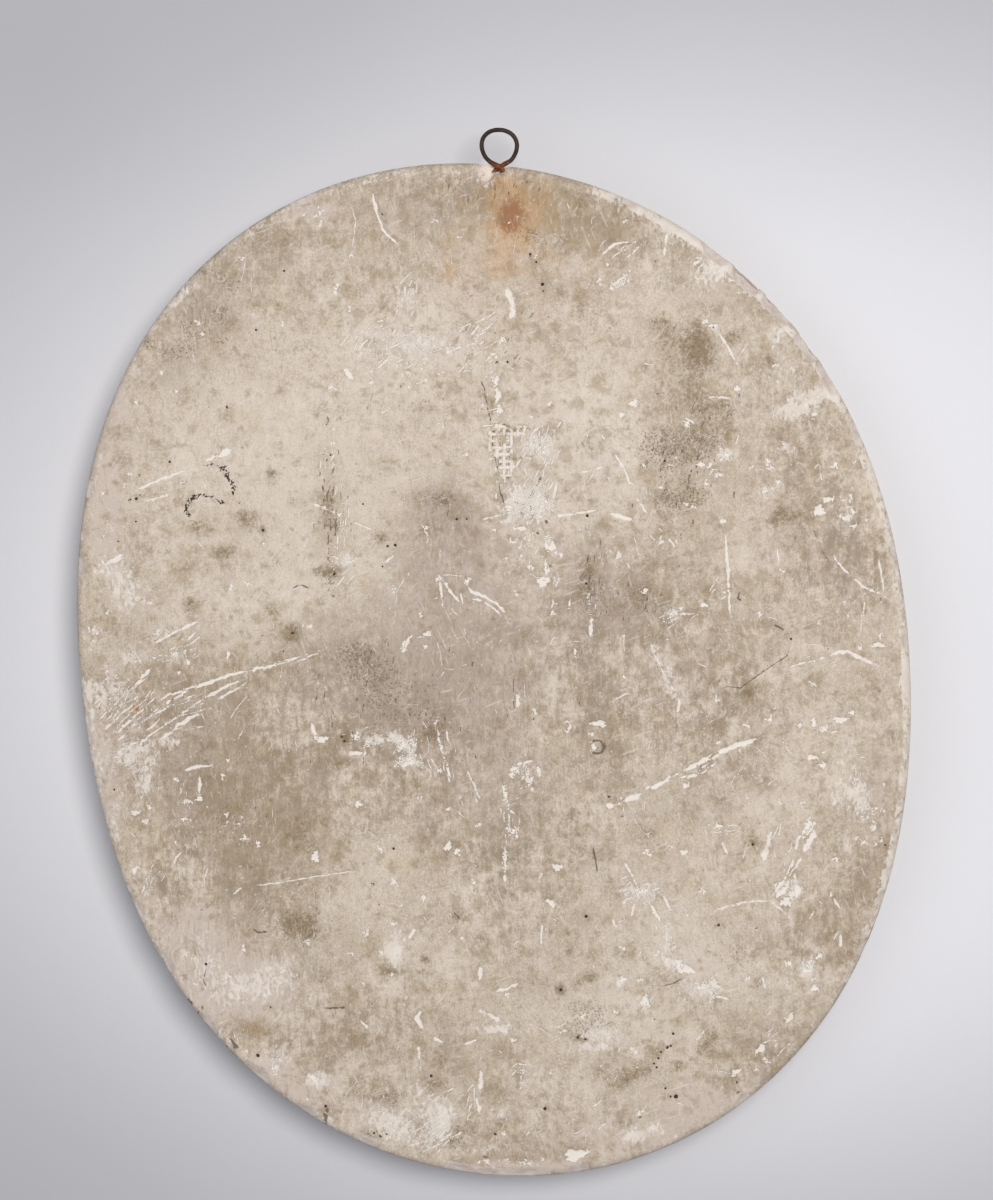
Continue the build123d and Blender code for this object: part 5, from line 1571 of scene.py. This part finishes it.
def make_bare_threads():
    """The clogged threads that show in the bare patch, woven over and under each other."""
    dice = np.random.RandomState(5)
    points, faces = [], []
    for way, (first, last, start, end) in enumerate(THREADS):
        for number in range(int((last - first) / THREAD_PITCH) + 1):
            place = first + number * THREAD_PITCH + dice.uniform(-0.25, 0.25)
            spots = thread_line(way, number, place, start, end)
            inside = patch(BARE_PATCH, spots[:, 0], spots[:, 1]) > 0.25
            changes = np.flatnonzero(np.diff(np.concatenate([[0], inside.astype(int), [0]])))
            for begin, stop in zip(changes[::2], changes[1::2]):
                if stop - begin < 4:
                    continue
                line = spots[begin:stop]
                width = dice.uniform(0.7, 0.95)
                rough = [noise(line + corner * 3.0, 1.2, 147, 2) for corner in range(THREAD_SIDES)]
                made = tube(line, width * (1 + 0.16 * np.array(rough).T), THREAD_SIDES)
                before = sum(len(block) for block in points)
                points.append(made[0])
                faces += [tuple(corner + before for corner in face) for face in made[1]]
    return make_piece("bare_threads", np.vstack(points), faces, {}, clogged_thread(), [])


# ==== build it =====================================================================================

make_skin()
backing_piece = make_backing()
make_face()
make_wire()
for index in range(1, 6):
    make_strip(index)
make_bare_threads()


# ==== floor, light and camera ======================================================================

# All in metres. A pool of light is painted on the floor, which is a little brighter in it: its middle, its
# shape and where it fades.
PAINTED_LIGHT_POOL_MIDDLE = (0.090, 0.006, 0.0)
PAINTED_LIGHT_POOL_SHAPE = (0.7, 1.0, 1.0)
PAINTED_LIGHT_POOL_EDGE = (0.08, 0.36)
FLOOR_HALF = 15.0
FLOOR_DROP = -0.0004


def floor_with_painted_light_pool():
    """Pale card with a painted pool of light: a little brighter where the light falls, darker farther off.
    """
    ground = Finish("pale_floor_painted_light_pool")
    soft = ground.cloud(160, 2.0, 0.5, offset=61.0)
    fine = ground.cloud(3.0, 2.0, 0.5, offset=63.0)
    moved = ground.node("VectorMath", {0: ground.place, 1: PAINTED_LIGHT_POOL_MIDDLE}, operation="SUBTRACT")
    moved = ground.node("VectorMath", {0: moved, 1: PAINTED_LIGHT_POOL_SHAPE}, operation="MULTIPLY")
    distance = ground.node("VectorMath", {0: moved}, "Value", operation="LENGTH")
    away = ground.window(distance, *PAINTED_LIGHT_POOL_EDGE)
    # painted light: the floor's colour fades from bright in the pool's middle to darker at its edge
    colour = ground.ramp(away, [(0.0, tint(226, 225, 228)), (1.0, tint(178, 177, 180))])
    colour = ground.blend(ground.window(soft, 0.3, 0.7, 0.0, 0.12), colour, tint(214, 214, 218))
    return ground.finish(colour, ground.window(fine, 0.3, 0.7, 0.86, 0.94), fine, 0.05)


floor_mesh = bpy.data.meshes.new("floor")
corners = [(way_x * FLOOR_HALF, way_y * FLOOR_HALF, FLOOR_DROP)
           for way_x, way_y in ((-1, -1), (1, -1), (1, 1), (-1, 1))]
floor_mesh.from_pydata(corners, [], [(0, 1, 2, 3)])
floor_mesh.materials.append(floor_with_painted_light_pool())
floor = bpy.data.objects.new("floor", floor_mesh)
bpy.context.scene.collection.objects.link(floor)


def area_light(name, place, size, power, colour):
    """A round light that looks at the origin; its place and size are in metres, its power in watts."""
    data = bpy.data.lights.new(name, "AREA")
    data.shape = "DISK"
    data.size = size
    data.energy = power
    data.color = colour
    lamp = bpy.data.objects.new(name, data)
    lamp.location = place
    lamp.rotation_euler = (-Vector(place)).to_track_quat("-Z", "Y").to_euler()
    bpy.context.scene.collection.objects.link(lamp)


area_light("key", place=(0.32, 0.30, 1.60), size=0.7, power=20.5, colour=(1.0, 0.985, 0.965))
area_light("fill", place=(-0.9, -0.2, 1.5), size=1.4, power=6.3, colour=(0.95, 0.97, 1.0))
world = bpy.data.worlds.new("world")
world.use_nodes = True
background = world.node_tree.nodes["Background"]
background.inputs["Color"].default_value = (0.86, 0.90, 1.0, 1.0)
background.inputs["Strength"].default_value = 0.24
bpy.context.scene.world = world
bpy.context.scene.view_settings.view_transform = "Standard"

# The camera looks straight down at the picture's middle, which is a little above the slab's.
AIM_X, AIM_Y = 1.0, 28.0
CAMERA_REACH = 1.0      # metres from the back
camera_data = bpy.data.cameras.new("camera")
camera_data.lens = 75.0
camera_data.sensor_width = 36.0
camera_data.clip_end = 20.0
camera = bpy.data.objects.new("camera", camera_data)
camera.location = ((MIDDLE[0] + AIM_X) * MM, (MIDDLE[1] + AIM_Y) * MM, BACK_LEVEL * MM + CAMERA_REACH)
bpy.context.scene.collection.objects.link(camera)
bpy.context.scene.camera = camera
